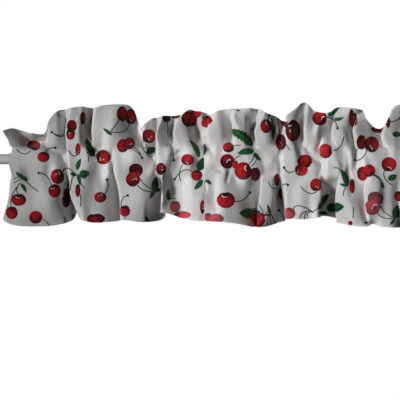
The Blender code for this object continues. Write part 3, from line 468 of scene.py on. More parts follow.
def profile(u, s_flat, seed):
    """The sheet's section along each fold line in u, from the hem to its back
    end.  Returns points (fold line, station, xyz) in metres and the stations
    at which the front ends and the two seams lie."""
    skirt_s = np.linspace(1.0, 0.0, N_SKIRT + 1)[:-1]
    pocket_q = np.linspace(0.0, 1.0, N_POCKET + 1)[:-1]
    head_p = np.linspace(0.0, 1.0, N_HEAD + 1)
    behind_q = np.linspace(1.0, 0.0, N_BEHIND + 1)[1:]
    top_a = np.linspace(0.0, 180.0, N_TOP + 1)[1:-1]
    back_p = head_p[::-2]

    col = lambda table, n: hermite(table, n, u)[:, None]
    x_hs, h_hs, d_hs, x_ro, d_ro, x_ps, h_ps, d_ps = (
        col(POCKET, n) for n in range(1, 9))
    xm, dm, xt, ht, dt = (col(HEADER, n) for n in range(1, 6))
    xk, dk, xh, hh, dh = (col(SKIRT, n) for n in range(1, 6))
    least = 500.0 * SLEEVE_D + 1000.0 * ROD_CLEAR + 500.0 * CLOTH
    d_ro = np.maximum(d_ro, least)
    h_hs = np.maximum(h_hs, SEAM_H)

    r = TOP_R * 1000.0
    h_end = ht - r / (STEP * 1000.0)
    h_mid = 0.5 * (h_hs + h_end)
    h_ro = 0.5 * (h_ps + h_hs) + 1.0
    h_k = h_ps + 0.5 * (hh - h_ps)
    near = lambda a, b, part: a + part * (b - a)
    level = np.array([0.0, 0.26, 0.38, 0.44, 0.54, 0.63, 0.69, 0.81, 1.0])
    knots = [np.concatenate([np.broadcast_to(c, xh.shape) for c in row], axis=1)
             for row in ((xh, xk, near(x_ps, xk, OPENING), x_ps, x_ro,
                          x_hs, near(x_hs, xm, OPENING), xm, xt),
                         (dh, dk, near(d_ps, dk, OPENING), d_ps, d_ro,
                          d_hs, near(d_hs, dm, OPENING), dm, dt),
                         (hh, h_k, near(h_ps, h_k, 0.33), h_ps, h_ro,
                          h_hs, near(h_hs, h_mid, 0.33), h_mid, h_end))]
    stretch = lambda a, b, t: level[a] + (level[b] - level[a]) * np.asarray(t)
    at = np.concatenate([stretch(0, 3, 1.0 - skirt_s), stretch(3, 5, pocket_q),
                         stretch(5, 8, head_p)])
    x, d, h = (rise(level, k, at) for k in knots)

    # the small relief, on the whole front
    place = lambda x, d, h: np.stack(
        [(x + X_START) * STEP, -d / 1000.0, h * STEP], axis=2)
    px, py = project(place(x, d, h))
    z = h * STEP
    s = np.broadcast_to(s_flat[:, None], x.shape)
    z_ps, z_hs = h_ps * STEP, h_hs * STEP
    free = smooth(0.0, 0.35, 1.0 - 0.0 * at)[None, :]
    d = d + relief(px, py)
    d = d + RIPPLE * free * ripple(s, z, seed)
    d = d + PUCKER * (pucker(s, np.abs(z - z_ps), seed + 1)
                      + pucker(s, np.abs(z - z_hs), seed + 2))
    d = d - SEAM_DIP * (np.exp(-((z - z_ps) / 0.0014) ** 2)
                        + np.exp(-((z - z_hs) / 0.0014) ** 2))

    n_low = N_SKIRT + N_POCKET
    head = [a[:, n_low:] for a in (x, d, h)]
    xt, dt = head[0][:, -1:], head[1][:, -1:]
    parts = [(x, d, h)]
    # over the top
    a = np.radians(top_a)[None, :]
    parts.append((xt + 0 * a, dt - r + r * np.cos(a),
                  h_end + r * np.sin(a) / (STEP * 1000.0)))
    # back of the header, top to seam
    pb = back_p[None, :]
    gap = (2 * r * pb + SEAM_GAP * (1 - pb)
           + (HEAD_GAP - r - 0.5 * SEAM_GAP) * 4 * pb * (1 - pb))
    parts.append((head[0][:, ::-2], head[1][:, ::-2] - gap, head[2][:, ::-2]))
    # behind the rod, header seam to pocket seam
    qb = behind_q[None, :]
    d_hs1, d_ps1 = d[:, n_low:n_low + 1], d[:, N_SKIRT:N_SKIRT + 1]
    xb = x_ps + (x_hs - x_ps) * qb
    base = d_ps1 + (d_hs1 - d_ps1) * qb - SEAM_GAP
    back = -(least + 0.35 * (d_ro - least) + 1.0)
    mid = 0.5 * (d_ps1 + d_hs1) - SEAM_GAP
    db = base + (back - mid) * np.sin(math.pi * qb) ** 0.8
    hb = h_ps + (h_hs - h_ps) * (0.5 - 0.5 * np.cos(math.pi * qb))
    parts.append((xb, db, hb))

    x = np.concatenate([np.broadcast_to(i[0], i[2].shape) for i in parts], axis=1)
    d = np.concatenate([i[1] for i in parts], axis=1)
    h = np.concatenate([i[2] for i in parts], axis=1)
    # the sheet rests round the rod, never nearer its axis than this
    z = h * STEP * 1000.0
    grow = np.maximum(1.0, (least + 0.3) / np.maximum(np.hypot(d, z), 1e-6))
    points = np.stack([(x + X_START) * STEP, -d * grow / 1000.0, z * grow / 1000.0], axis=2)
    n_front = n_low + N_HEAD + 1
    n_back = n_front + N_TOP - 1 + len(back_p)
    return points, n_front, (N_SKIRT, n_low, n_back - 1, points.shape[1] - 1)


def columns(u0, u1, count):
    """Fold-line numbers spaced evenly along the folded cloth, and how far along
    the flat cloth each lies, in metres: the mean of the section's length at
    the hem, half-way up the skirt, at the rod and half-way up the header."""
    u = np.linspace(u0, u1, 6001)
    mean, most = np.zeros(len(u) - 1), np.zeros(len(u) - 1)
    for table, cx, cd in ((SKIRT, 1, 2), (SKIRT, 3, 5), (HEADER, 1, 2), (POCKET, 4, 5)):
        x = hermite(table, cx, u) * STEP * 1000.0
        d = hermite(table, cd, u)
        length = np.hypot(np.diff(x), np.diff(d))
        mean += 0.25 * length
        most = np.maximum(most, length)
    walked = lambda length: np.concatenate([[0.0], np.cumsum(length)])
    dense, flat = walked(0.5 * (mean + most)), walked(mean)
    v = np.interp(np.linspace(0.0, dense[-1], count + 1), dense, u)
    return v, np.interp(v, u, flat) / 1000.0


def sheet_normals(points):
    """Unit normals of a grid of points; on the two side edges they are square
    to the section alone, so that two widths meet edge to edge."""
    along = np.gradient(points, axis=1)
    across = np.gradient(points, axis=0)
    across[0], across[-1] = (1.0, 0.0, 0.0), (1.0, 0.0, 0.0)
    normal = np.cross(across, along)
    return normal / np.maximum(np.linalg.norm(normal, axis=2), 1e-12)[:, :, None]


def running(points, axis):
    """Length walked along one direction of the grid, from its first edge."""
    step = np.linalg.norm(np.diff(points, axis=axis), axis=2)
    zero = np.zeros_like(step[:1] if axis == 0 else step[:, :1])
    return np.concatenate([zero, np.cumsum(step, axis=axis)], axis=axis)


# ---------------------------------------------------------------- the print
class Width:
    """One width of cloth as a fine grid, and the print that lies on it."""

    def __init__(self, name, u0, u1, count, x_shift, seed):
        self.name = name
        u, self.flat = columns(u0, u1, count)
        self.points, self.n_front, self.lines = profile(u, self.flat, seed)
        self.points[:, :, 0] += x_shift
        self.s = running(self.points, 0) / STEP
        self.t = running(self.points, 1) / STEP
        self.px, self.py = project(self.points)
        nu, nv = self.px.shape
        self.cells = (nu - 1, nv - 1)
        self.kinds = {'cherry': [], 'leaf': [], 'stalk': []}
        f = self.n_front
        ring = lambda a: np.stack([a[:-1, :f - 1], a[1:, :f - 1], a[1:, 1:f], a[:-1, 1:f]])
        self.ring_x, self.ring_y = ring(self.px[:, :f]), ring(self.py[:, :f])
        self.ring_d = ring(self.points[:, :f, 1]).mean(axis=0)
        # which of the grid's points show from the front
        depth = np.full((405, 405), 1e9)
        at = lambda a: np.clip(np.floor(a), 0, 404).astype(int)
        for a in (0.0, 0.5):
            for b in (0.0, 0.5):
                mix = lambda g: ((1 - a) * ((1 - b) * g[:-1, :-1] + b * g[:-1, 1:])
                                 + a * ((1 - b) * g[1:, :-1] + b * g[1:, 1:]))
                np.minimum.at(depth, (at(mix(self.py)), at(mix(self.px))), mix(self.points[:, :, 1]))
        self.shows = ((self.px < 404.0)
                      & (self.points[:, :, 1] < depth[at(self.py), at(self.px)] + 0.0035))
        self.shows[:, f:] = False

    def find(self, x, y):
        """The place on the front that shows at (x, y): column, station, and how
        far off it lies if the cloth doesn't reach there."""
        rx, ry = self.ring_x, self.ring_y
        near = ((rx.min(axis=0) <= x) & (rx.max(axis=0) >= x)
                & (ry.min(axis=0) <= y) & (ry.max(axis=0) >= y))
        best, where = 1e9, None
        for i, j in zip(*np.nonzero(near)):
            cx, cy = rx[:, i, j], ry[:, i, j]
            for o, p, q, back in ((0, 1, 3, False), (2, 3, 1, True)):
                ax, ay, bx, by = cx[p] - cx[o], cy[p] - cy[o], cx[q] - cx[o], cy[q] - cy[o]
                det = ax * by - ay * bx
                if abs(det) < 1e-9:
                    continue
                a = ((x - cx[o]) * by - (y - cy[o]) * bx) / det
                b = (ax * (y - cy[o]) - ay * (x - cx[o])) / det
                if a >= -1e-6 and b >= -1e-6 and a + b <= 1 + 1e-6 and self.ring_d[i, j] < best:
                    best = self.ring_d[i, j]
                    where = (i + 1 - a, j + 1 - b) if back else (i + a, j + b)
        if where:
            return where[0], where[1], 0.0, 0.0
        f = self.n_front
        off = np.hypot(self.px[:, :f] - x, self.py[:, :f] - y) + 20 * self.points[:, :f, 1]
        i, j = np.unravel_index(off.argmin(), off.shape)
        return float(i), float(j), x - self.px[i, j], y - self.py[i, j]

    def window(self, fi, fj, reach):
        """Lengths walked on the cloth from (column, station), right and up, in
        steps, for all of the grid that lies within reach."""
        m = int(reach * 1.7) + 4
        i0, i1 = max(int(fi) - m, 0), min(int(fi) + m + 2, self.s.shape[0])
        j0, j1 = max(int(fj) - m, 0), min(int(fj) + m + 2, self.s.shape[1])
        part = (slice(i0, i1), slice(j0, j1))
        a, b = min(int(fi), self.s.shape[0] - 2), min(int(fj), self.s.shape[1] - 2)
        ci, cj = fi - a, fj - b
        s = self.s[part] - ((1 - ci) * self.s[a, j0:j1] + ci * self.s[a + 1, j0:j1])[None, :]
        t = self.t[part] - ((1 - cj) * self.t[i0:i1, b] + cj * self.t[i0:i1, b + 1])[:, None]
        return part, s, t

    def facing(self, part, s, t, reach):
        """How lengths on the cloth show in the picture round there, as a 2 x 2
        matrix (right and up), never flatter than a steep fold can be drawn on."""
        use = (np.hypot(s, t) < reach)
        use[:, max(self.n_front - part[1].start, 0):] = False
        if use.sum() < 8:
            return np.eye(2)
        rows = np.stack([np.ones(use.sum()), s[use], t[use]], axis=1)
        bx = np.linalg.lstsq(rows, self.px[part][use], rcond=None)[0]
        by = np.linalg.lstsq(rows, -self.py[part][use], rcond=None)[0]
        w, size, v = np.linalg.svd(np.array([bx[1:], by[1:]]))
        return w @ np.diag(np.clip(size, 0.45, 1.08)) @ v

    def mark(self, kind, part, inside, x, y, code):
        """Gives the cells touched by a motif its own coordinates, in the lowest
        layer that lies over every motif already there."""
        nu, nv = self.cells
        a = np.zeros((part[0].stop - part[0].start - 1, part[1].stop - part[1].start - 1), bool)
        for di, dj in ((0, 0), (1, 0), (1, 1), (0, 1)):
            a |= inside[di:di + a.shape[0], dj:dj + a.shape[1]]
        if not a.any():
            return
        i0, j0 = part[0].start, part[1].start
        cells = (slice(i0, i0 + a.shape[0]), slice(j0, j0 + a.shape[1]))
        layers = self.kinds[kind]
        level = 0
        for k, (taken, _) in enumerate(layers):
            if (taken[cells] & a).any():
                level = k + 1
        if level == len(layers):
            layers.append((np.zeros(self.cells, bool),
                           np.tile(np.array(OUTSIDE, np.float32), (*self.cells, 4, 1))))
        taken, values = layers[level]
        taken[cells] |= a
        block = values[cells]
        for n, (di, dj) in enumerate(((0, 0), (1, 0), (1, 1), (0, 1))):
            sub = (slice(di, di + a.shape[0]), slice(dj, dj + a.shape[1]))
            block[a, n, 0] = x[sub][a]
            block[a, n, 1] = y[sub][a]
            block[a, n, 2] = code

    def cherry(self, part, x, y, rx, ry, turn, hollow, shine, tone):
        """x and y count steps from the cherry's middle, right and up."""
        nx, ny = x / rx, y / ry
        c, s = math.cos(math.radians(turn)), math.sin(math.radians(turn))
        inside = np.hypot(nx, ny) < 1 + 1.6 / min(rx, ry)
        self.mark('cherry', part, inside, nx * s - ny * c, nx * c + ny * s,
                  100 * shine + 10 * round(10 * hollow) + 0.5 + 9 * tone)

    def leaf(self, part, x, y, x0, y0, x1, y1, width, bend, tone):
        ex, ey = x1 - x0, y1 - y0
        size = math.hypot(ex, ey)
        a = ((x - x0) * ex + (y - y0) * ey) / size ** 2
        b = (-(x - x0) * ey + (y - y0) * ex) / size ** 2
        b = b - bend * 4 * a * (1 - a)
        half = 0.5 * width / size
        inside = ((a > -1.6 / size) & (a < 1 + 1.6 / size) & (np.abs(b) < half * 1.3 + 1.6 / size))
        self.mark('leaf', part, inside, a, b, 10 * round(100 * half) + 0.5 + 9 * tone)

    def stalk(self, part, x, y, ends, knob):
        (x0, y0), (x1, y1), (x2, y2) = ends
        t = np.linspace(0.0, 1.0, 17)
        lx = x0 * (1 - t) * (1 - 2 * t) + 4 * x1 * t * (1 - t) + x2 * t * (2 * t - 1)
        ly = y0 * (1 - t) * (1 - 2 * t) + 4 * y1 * t * (1 - t) + y2 * t * (2 * t - 1)
        size = np.hypot(np.diff(lx), np.diff(ly)) + 1e-9
        run = np.concatenate([[0.0], np.cumsum(size)])
        best, along, off = (np.full(x.shape, v) for v in (1e9, 0.0, 9.0))
        for k in range(16):
            ex, ey = (lx[k + 1] - lx[k]) / size[k], (ly[k + 1] - ly[k]) / size[k]
            a = (x - lx[k]) * ex + (y - ly[k]) * ey
            b = -(x - lx[k]) * ey + (y - ly[k]) * ex
            out = np.where((a < 0) & (k > 0), -a, 0) + np.where((a > size[k]) & (k < 15), a - size[k], 0)
            dist = np.hypot(out, np.abs(b))
            closer = dist < best
            best = np.where(closer, dist, best)
            along = np.where(closer, run[k] + a, along)
            off = np.where(closer, b, off)
        inside = (np.abs(off) < 2.0) & (along > -1.6) & (along < run[-1] + 1.6)
        self.mark('stalk', part, inside, along, off, 1000 * knob + run[-1])

    # ---- motifs placed where they show in the picture
    def view(self, x, y, reach):
        """Grid window round the place that shows at (x, y), with its coordinates
        in picture steps from there, right and up."""
        fi, fj, ox, oy = self.find(x, y)
        part, s, t = self.window(fi, fj, reach)
        m = self.facing(part, s, t, 0.75 * reach)
        gx, gy = m[0, 0] * s + m[0, 1] * t - ox, m[1, 0] * s + m[1, 1] * t + oy
        # on the front the motif keeps its shape as it shows from there, as far
        # as that stays near the lengths on the cloth
        slack = 0.40 * reach
        last = self.n_front - 1 - part[1].start
        for g, shown in ((gx, self.px[part] - x), (gy, y - self.py[part])):
            shift = np.clip(shown - g, -slack, slack)
            if last < shift.shape[1]:
                shift[:, max(last, 0):] = shift[:, max(last, 0)][:, None]
            g += shift
        return part, gx, gy

    def spot(self, x, y, part, gx, gy):
        """Where a picture position lies in a window's coordinates."""
        fi, fj, ox, oy = self.find(x, y)
        i, j = int(fi), int(fj)
        i, j = min(i, self.s.shape[0] - 2), min(j, self.s.shape[1] - 2)
        a, b = fi - i, fj - j
        i, j = i - part[0].start, j - part[1].start
        if not (0 <= i < gx.shape[0] - 1 and 0 <= j < gx.shape[1] - 1):
            return None
        mix = lambda g: ((1 - a) * (1 - b) * g[i, j] + a * (1 - b) * g[i + 1, j]
                         + a * b * g[i + 1, j + 1] + (1 - a) * b * g[i, j + 1])
        return mix(gx) + ox, mix(gy) - oy

    def put_cherry(self, x, y, rx, ry, turn, hollow, shine, tone):
        part, gx, gy = self.view(x, y, max(rx, ry) + 2)
        self.cherry(part, gx, gy, rx, ry, turn, hollow, shine, tone)

    def put_leaf(self, x0, y0, x1, y1, width, bend, tone):
        reach = math.hypot(x1 - x0, y1 - y0) * 0.6 + 3
        mx, my = 0.5 * (x0 + x1), 0.5 * (y0 + y1)
        part, gx, gy = self.view(mx, my, reach)
        a = self.spot(x0, y0, part, gx, gy) or (x0 - mx, my - y0)
        b = self.spot(x1, y1, part, gx, gy) or (x1 - mx, my - y1)
        for got, want in ((a, (x0 - mx, my - y0)), (b, (x1 - mx, my - y1))):
            if math.hypot(got[0] - want[0], got[1] - want[1]) > 0.5 * reach:
                a, b = (x0 - mx, my - y0), (x1 - mx, my - y1)
        self.leaf(part, gx, gy, *a, *b, width, bend, tone)

    def put_stalk(self, x0, y0, x1, y1, x2, y2, knob):
        reach = 0.6 * (math.hypot(x1 - x0, y1 - y0) + math.hypot(x2 - x1, y2 - y1)) + 3
        part, gx, gy = self.view(x1, y1, reach)
        ends = []
        for x, y in ((x0, y0), (x1, y1), (x2, y2)):
            want = (x - x1, y1 - y)
            got = self.spot(x, y, part, gx, gy)
            if got is None or math.hypot(got[0] - want[0], got[1] - want[1]) > 0.45 * reach + 2:
                got = want
            ends.append(got)
        self.stalk(part, gx, gy, ends, knob)


OUTSIDE = (9.0, 9.0, 0.0)


# a low tone partly paints shade: some cherries got it because they lay in shade, not because the print is darker
# there
# Sprigs of the print on the front, by where they show in the picture: x and y
# in steps of its 400 x 400 frame.  Each goes on the width on its side of the seam.
# turn is the way the stalk end points (90 is up), hollow how far that dimple
# lies from the middle, shine 0 none, 1 glint, 2 crescent, 3 eye, 4 washed out,
# tone 0 dark to 1 bright.
#   x      y      rx    ry    turn hollow shine tone
CHERRIES = [
    ( 33.9, 145.5,  6.6,  5.2,  255, 0.7, 0, 0.70),
    ( 43.5, 156.9,  6.1,  5.3,   80, 0.7, 0, 0.80),
    ( 71.8, 126.0,  5.0,  6.2,  300, 0.8, 0, 0.25),
    ( 70.6, 133.8,  4.5,  6.0,  120, 0.3, 1, 0.45),
    ( 82.9, 118.3,  2.8,  6.5,  270, 0.8, 0, 0.40),
    ( 78.1, 149.4,  2.6,  6.2,  265, 0.8, 1, 0.65),
    (103.2, 157.1,  7.3,  7.3,  200, 0.6, 1, 0.62),
    ( 57.4, 176.5,  6.8,  7.5,   45, 0.6, 1, 0.52),
    ( 54.6, 190.8,  6.2,  6.8,  120, 0.6, 2, 0.75),
    ( 67.4, 194.0,  4.2,  6.0,   90, 0.6, 0, 0.40),
    ( 65.6, 201.5,  4.2,  6.0,   80, 0.6, 0, 0.10),
    ( 77.8, 190.4,  2.5,  6.6,   90, 0.8, 0, 0.45),
    ( 18.8, 199.8,  7.4,  6.2,   95, 0.5, 2, 0.70),
    ( 11.9, 212.8,  5.9,  6.5,   90, 0.6, 0, 0.70),
    ( 35.9, 217.2,  6.8,  6.4,  -20, 0.6, 0, 0.70),
    (121.9, 113.9,  5.1,  7.7,  250, 0.8, 0, 0.42),
    (130.7, 116.7,  5.6,  7.8,  265, 0.6, 1, 0.72),
    (122.8, 145.8,  6.0,  6.7,   20, 0.8, 0, 0.60),
    (129.3, 143.5,  5.7,  6.0,  -50, 0.4, 2, 0.80),
    (148.6, 136.3,  7.0,  7.2,  250, 0.5, 1, 0.70),
    (135.7, 170.3,  7.2,  6.9,  180, 0.9, 0, 0.15),
    (133.0, 179.3,  7.2,  7.4,  -50, 0.3, 3, 0.80),
    (160.9, 168.9,  4.9,  6.1,  -50, 0.4, 1, 0.36),
    (100.2, 197.3,  6.0,  5.3,   50, 0.6, 1, 0.70),
    (124.8, 210.9,  5.3,  5.8,  100, 0.6, 0, 0.70),
    ( 95.8, 218.6,  9.2,  5.0,  100, 0.8, 0, 0.35),
    (166.5, 117.2,  4.2,  5.2,  270, 0.7, 0, 0.25),
    (175.5, 115.4,  4.6,  3.4,  270, 0.7, 0, 0.25),
    (196.0, 112.8,  5.4,  5.2,  270, 0.9, 0, 0.70),
    (189.3, 119.0,  7.9,  8.0,  280, 0.8, 0, 0.65),
    (187.5, 159.7,  6.2,  5.6,  250, 0.7, 2, 0.85),
    (196.7, 175.2,  5.6,  5.7,   60, 0.7, 0, 0.75),
    (202.6, 207.0,  2.6,  7.0,  -60, 0.4, 1, 0.55),
    (182.3, 214.9,  8.8,  3.6,  165, 0.6, 4, 0.75),
    (175.0, 206.4,  5.4,  5.8,   90, 0.6, 4, 0.60),
    (206.5, 121.4,  6.0,  6.1,  100, 0.7, 0, 0.85),
    (228.5, 147.5,  5.8,  5.0,    0, 0.6, 0, 0.68),
    (227.4, 161.4,  7.2,  7.4,  -30, 0.2, 3, 0.30),
    (235.0, 164.5,  3.2,  4.2,   90, 0.9, 0, 0.90),
    (255.3, 174.0,  4.9,  6.8,   90, 0.8, 0, 0.38),
    (243.2, 170.9,  8.8,  8.8,   30, 0.5, 2, 0.65),
    (225.9, 200.1,  9.0,  8.1,  100, 0.6, 2, 0.82),
    (266.1, 126.1,  5.7,  7.0,   60, 0.5, 2, 0.55),
    (280.9, 142.3,  5.3,  8.5,   90, 0.1, 1, 0.50),
    (285.6, 123.2,  4.4,  3.6,   90, 0.8, 0, 0.20),
    (293.0, 130.7,  7.2, 11.0,  120, 0.7, 1, 0.15),
    (276.8, 179.7,  2.8,  6.0,  270, 0.8, 0, 0.70),
    (280.8, 193.6,  2.7,  5.6,   90, 0.8, 0, 0.45),
    (257.4, 218.6,  8.0,  8.4,  100, 0.8, 1, 0.85),
    (289.5, 213.2,  6.0,  5.7,   60, 0.6, 4, 0.60),
    (208.0, 216.9,  4.0,  4.2,   90, 0.6, 4, 0.20),
    (216.2, 218.4,  7.8,  4.6,   30, 0.7, 4, 0.60),
    (304.6, 161.5,  7.5,  6.8,  -30, 0.9, 0, 0.50),
    (301.2, 170.1,  6.6,  6.0,  190, 0.7, 2, 0.75),
    (319.7, 118.3,  7.4,  7.2,  -10, 0.5, 2, 0.65),
    (325.6, 151.0,  6.8,  7.3,    5, 0.7, 0, 0.85),
    (351.4, 117.5,  2.5,  8.8,   90, 0.7, 0, 0.62),
    (354.2, 120.5,  3.1,  8.2,   90, 0.6, 1, 0.60),
    (361.3, 142.4,  4.6,  7.5,  260, 0.8, 0, 0.25),
    (371.5, 144.5,  7.5,  8.0,  240, 0.5, 2, 0.55),
    (388.9, 164.4,  7.6,  7.4,  265, 0.6, 2, 0.92),
    (362.6, 173.7,  5.7,  7.0,  190, 0.8, 0, 0.60),
    (369.2, 170.6,  6.3,  6.2,  -50, 0.6, 0, 0.95),
    (352.0, 186.1,  2.8,  7.4,   90, 0.3, 0, 0.55),
    (316.2, 184.9,  6.2,  6.5,  270, 0.5, 2, 0.95),
    (375.1, 198.6,  7.9,  7.0,  180, 0.9, 4, 0.30),
    (372.5, 207.2,  7.9,  7.8,  -20, 0.3, 5, 0.60),
    (399.0, 196.0,  5.2,  5.4,   90, 0.7, 0, 0.60),
    (350.4, 223.2,  2.3,  2.4,   90, 0.9, 0, 0.60),
    (379.5, 129.5,  9.0,  3.4,   90, 0.9, 0, 0.15),
    (388.0, 122.0,  2.2,  6.0,   90, 0.9, 0, 0.20),
]

# leaves: from the stalk end to the tip, full width, bend to the left of that
# way as a part of the length, tone 0 dark to 1 bright
#   x0     y0     x1     y1    width bend  tone
LEAVES = [
    ( 94.4, 155.6,  86.0, 138.0,  7.6,  0.06, 0.05),
    ( 77.0, 170.0,  81.0, 158.5,  4.6,  0.05, 0.45),
    ( 79.5, 175.5,  89.4, 172.5,  9.0,  0.00, 0.35),
    ( 77.5, 174.0,  80.0, 186.0,  3.8,  0.05, 0.40),
    ( 76.5, 175.5,  70.0, 173.0,  4.0,  0.00, 0.15),
    ( 25.5, 178.5,  15.4, 171.4,  3.6,  0.06, 0.35),
    ( 20.8, 183.5,  26.4, 192.8,  3.6,  0.05, 0.35),
    ( 22.5, 176.5,  27.5, 181.5,  4.6,  0.00, 0.45),
    (112.0, 135.2, 103.0, 128.0,  3.4,  0.00, 0.30),
    (146.2, 152.6, 155.8, 148.2,  7.2,  0.00, 0.40),
    (154.6, 192.5, 156.4, 176.0,  7.6,  0.04, 0.05),
    (153.8, 190.0, 160.8, 189.6,  5.0,  0.00, 0.10),
    (154.8, 189.5, 149.8, 198.6,  4.2,  0.00, 0.15),
    (199.2, 157.2, 189.2, 140.0,  5.6, -0.08, 0.40),
    (198.5, 170.5, 203.8, 157.5,  9.0,  0.00, 0.15),
    (202.5, 179.8, 194.2, 189.6,  5.6,  0.04, 0.45),
    (169.0, 200.6, 168.2, 189.0,  4.4,  0.06, 0.25),
    (144.8, 216.5, 148.8, 222.0,  3.0,  0.00, 0.10),
    (252.8, 146.2, 231.4, 129.6,  9.4, -0.10, 0.45),
    (254.0, 151.2, 237.4, 153.8,  7.0, -0.06, 0.40),
    (254.4, 152.8, 261.4, 160.6,  4.4, -0.08, 0.40),
    (256.0, 212.5, 239.0, 213.2, 11.0,  0.04, 0.45),
    (272.8, 123.6, 272.4, 140.4,  4.0,  0.05, 0.45),
    (270.2, 214.0, 267.4, 204.4,  3.0,  0.00, 0.20),
    (271.0, 213.5, 262.0, 214.5,  2.4,  0.10, 0.40),
    (205.0, 180.2, 211.6, 184.8,  3.4,  0.10, 0.35),
    (204.6, 154.5, 204.6, 143.5,  3.2,  0.00, 0.10),
    (328.2, 115.8, 339.8, 107.4,  6.4,  0.06, 0.55),
    (332.0, 118.8, 344.2, 117.0,  3.8, -0.12, 0.55),
    (347.2, 186.6, 340.2, 169.2,  6.2, -0.08, 0.30),
    (346.0, 187.0, 339.2, 184.0,  2.6, -0.10, 0.35),
    (388.2, 179.4, 397.0, 175.2,  6.4,  0.00, 0.45),
    (380.8, 182.6, 384.2, 188.8,  3.4,  0.00, 0.25),
    (318.6, 208.6, 329.0, 193.8,  8.0,  0.02, 0.20),
    (328.0, 208.2, 344.2, 206.4, 10.4,  0.00, 0.25),
    (326.5, 208.2, 339.0, 207.2,  9.6,  0.00, 0.20),
    (327.2, 213.2, 318.0, 212.8,  4.2,  0.00, 0.10),
    (395.0, 218.6, 397.6, 204.6,  8.6,  0.00, 0.15),
    (392.2, 133.8, 401.5, 135.0,  6.0,  0.00, 0.40),
    (396.0, 217.0, 389.2, 225.2,  3.4,  0.00, 0.20),
    (364.0, 223.0, 368.2, 222.6,  2.2,  0.00, 0.10),
    (236.6, 110.2, 240.0, 110.8,  1.8,  0.00, 0.10),
]

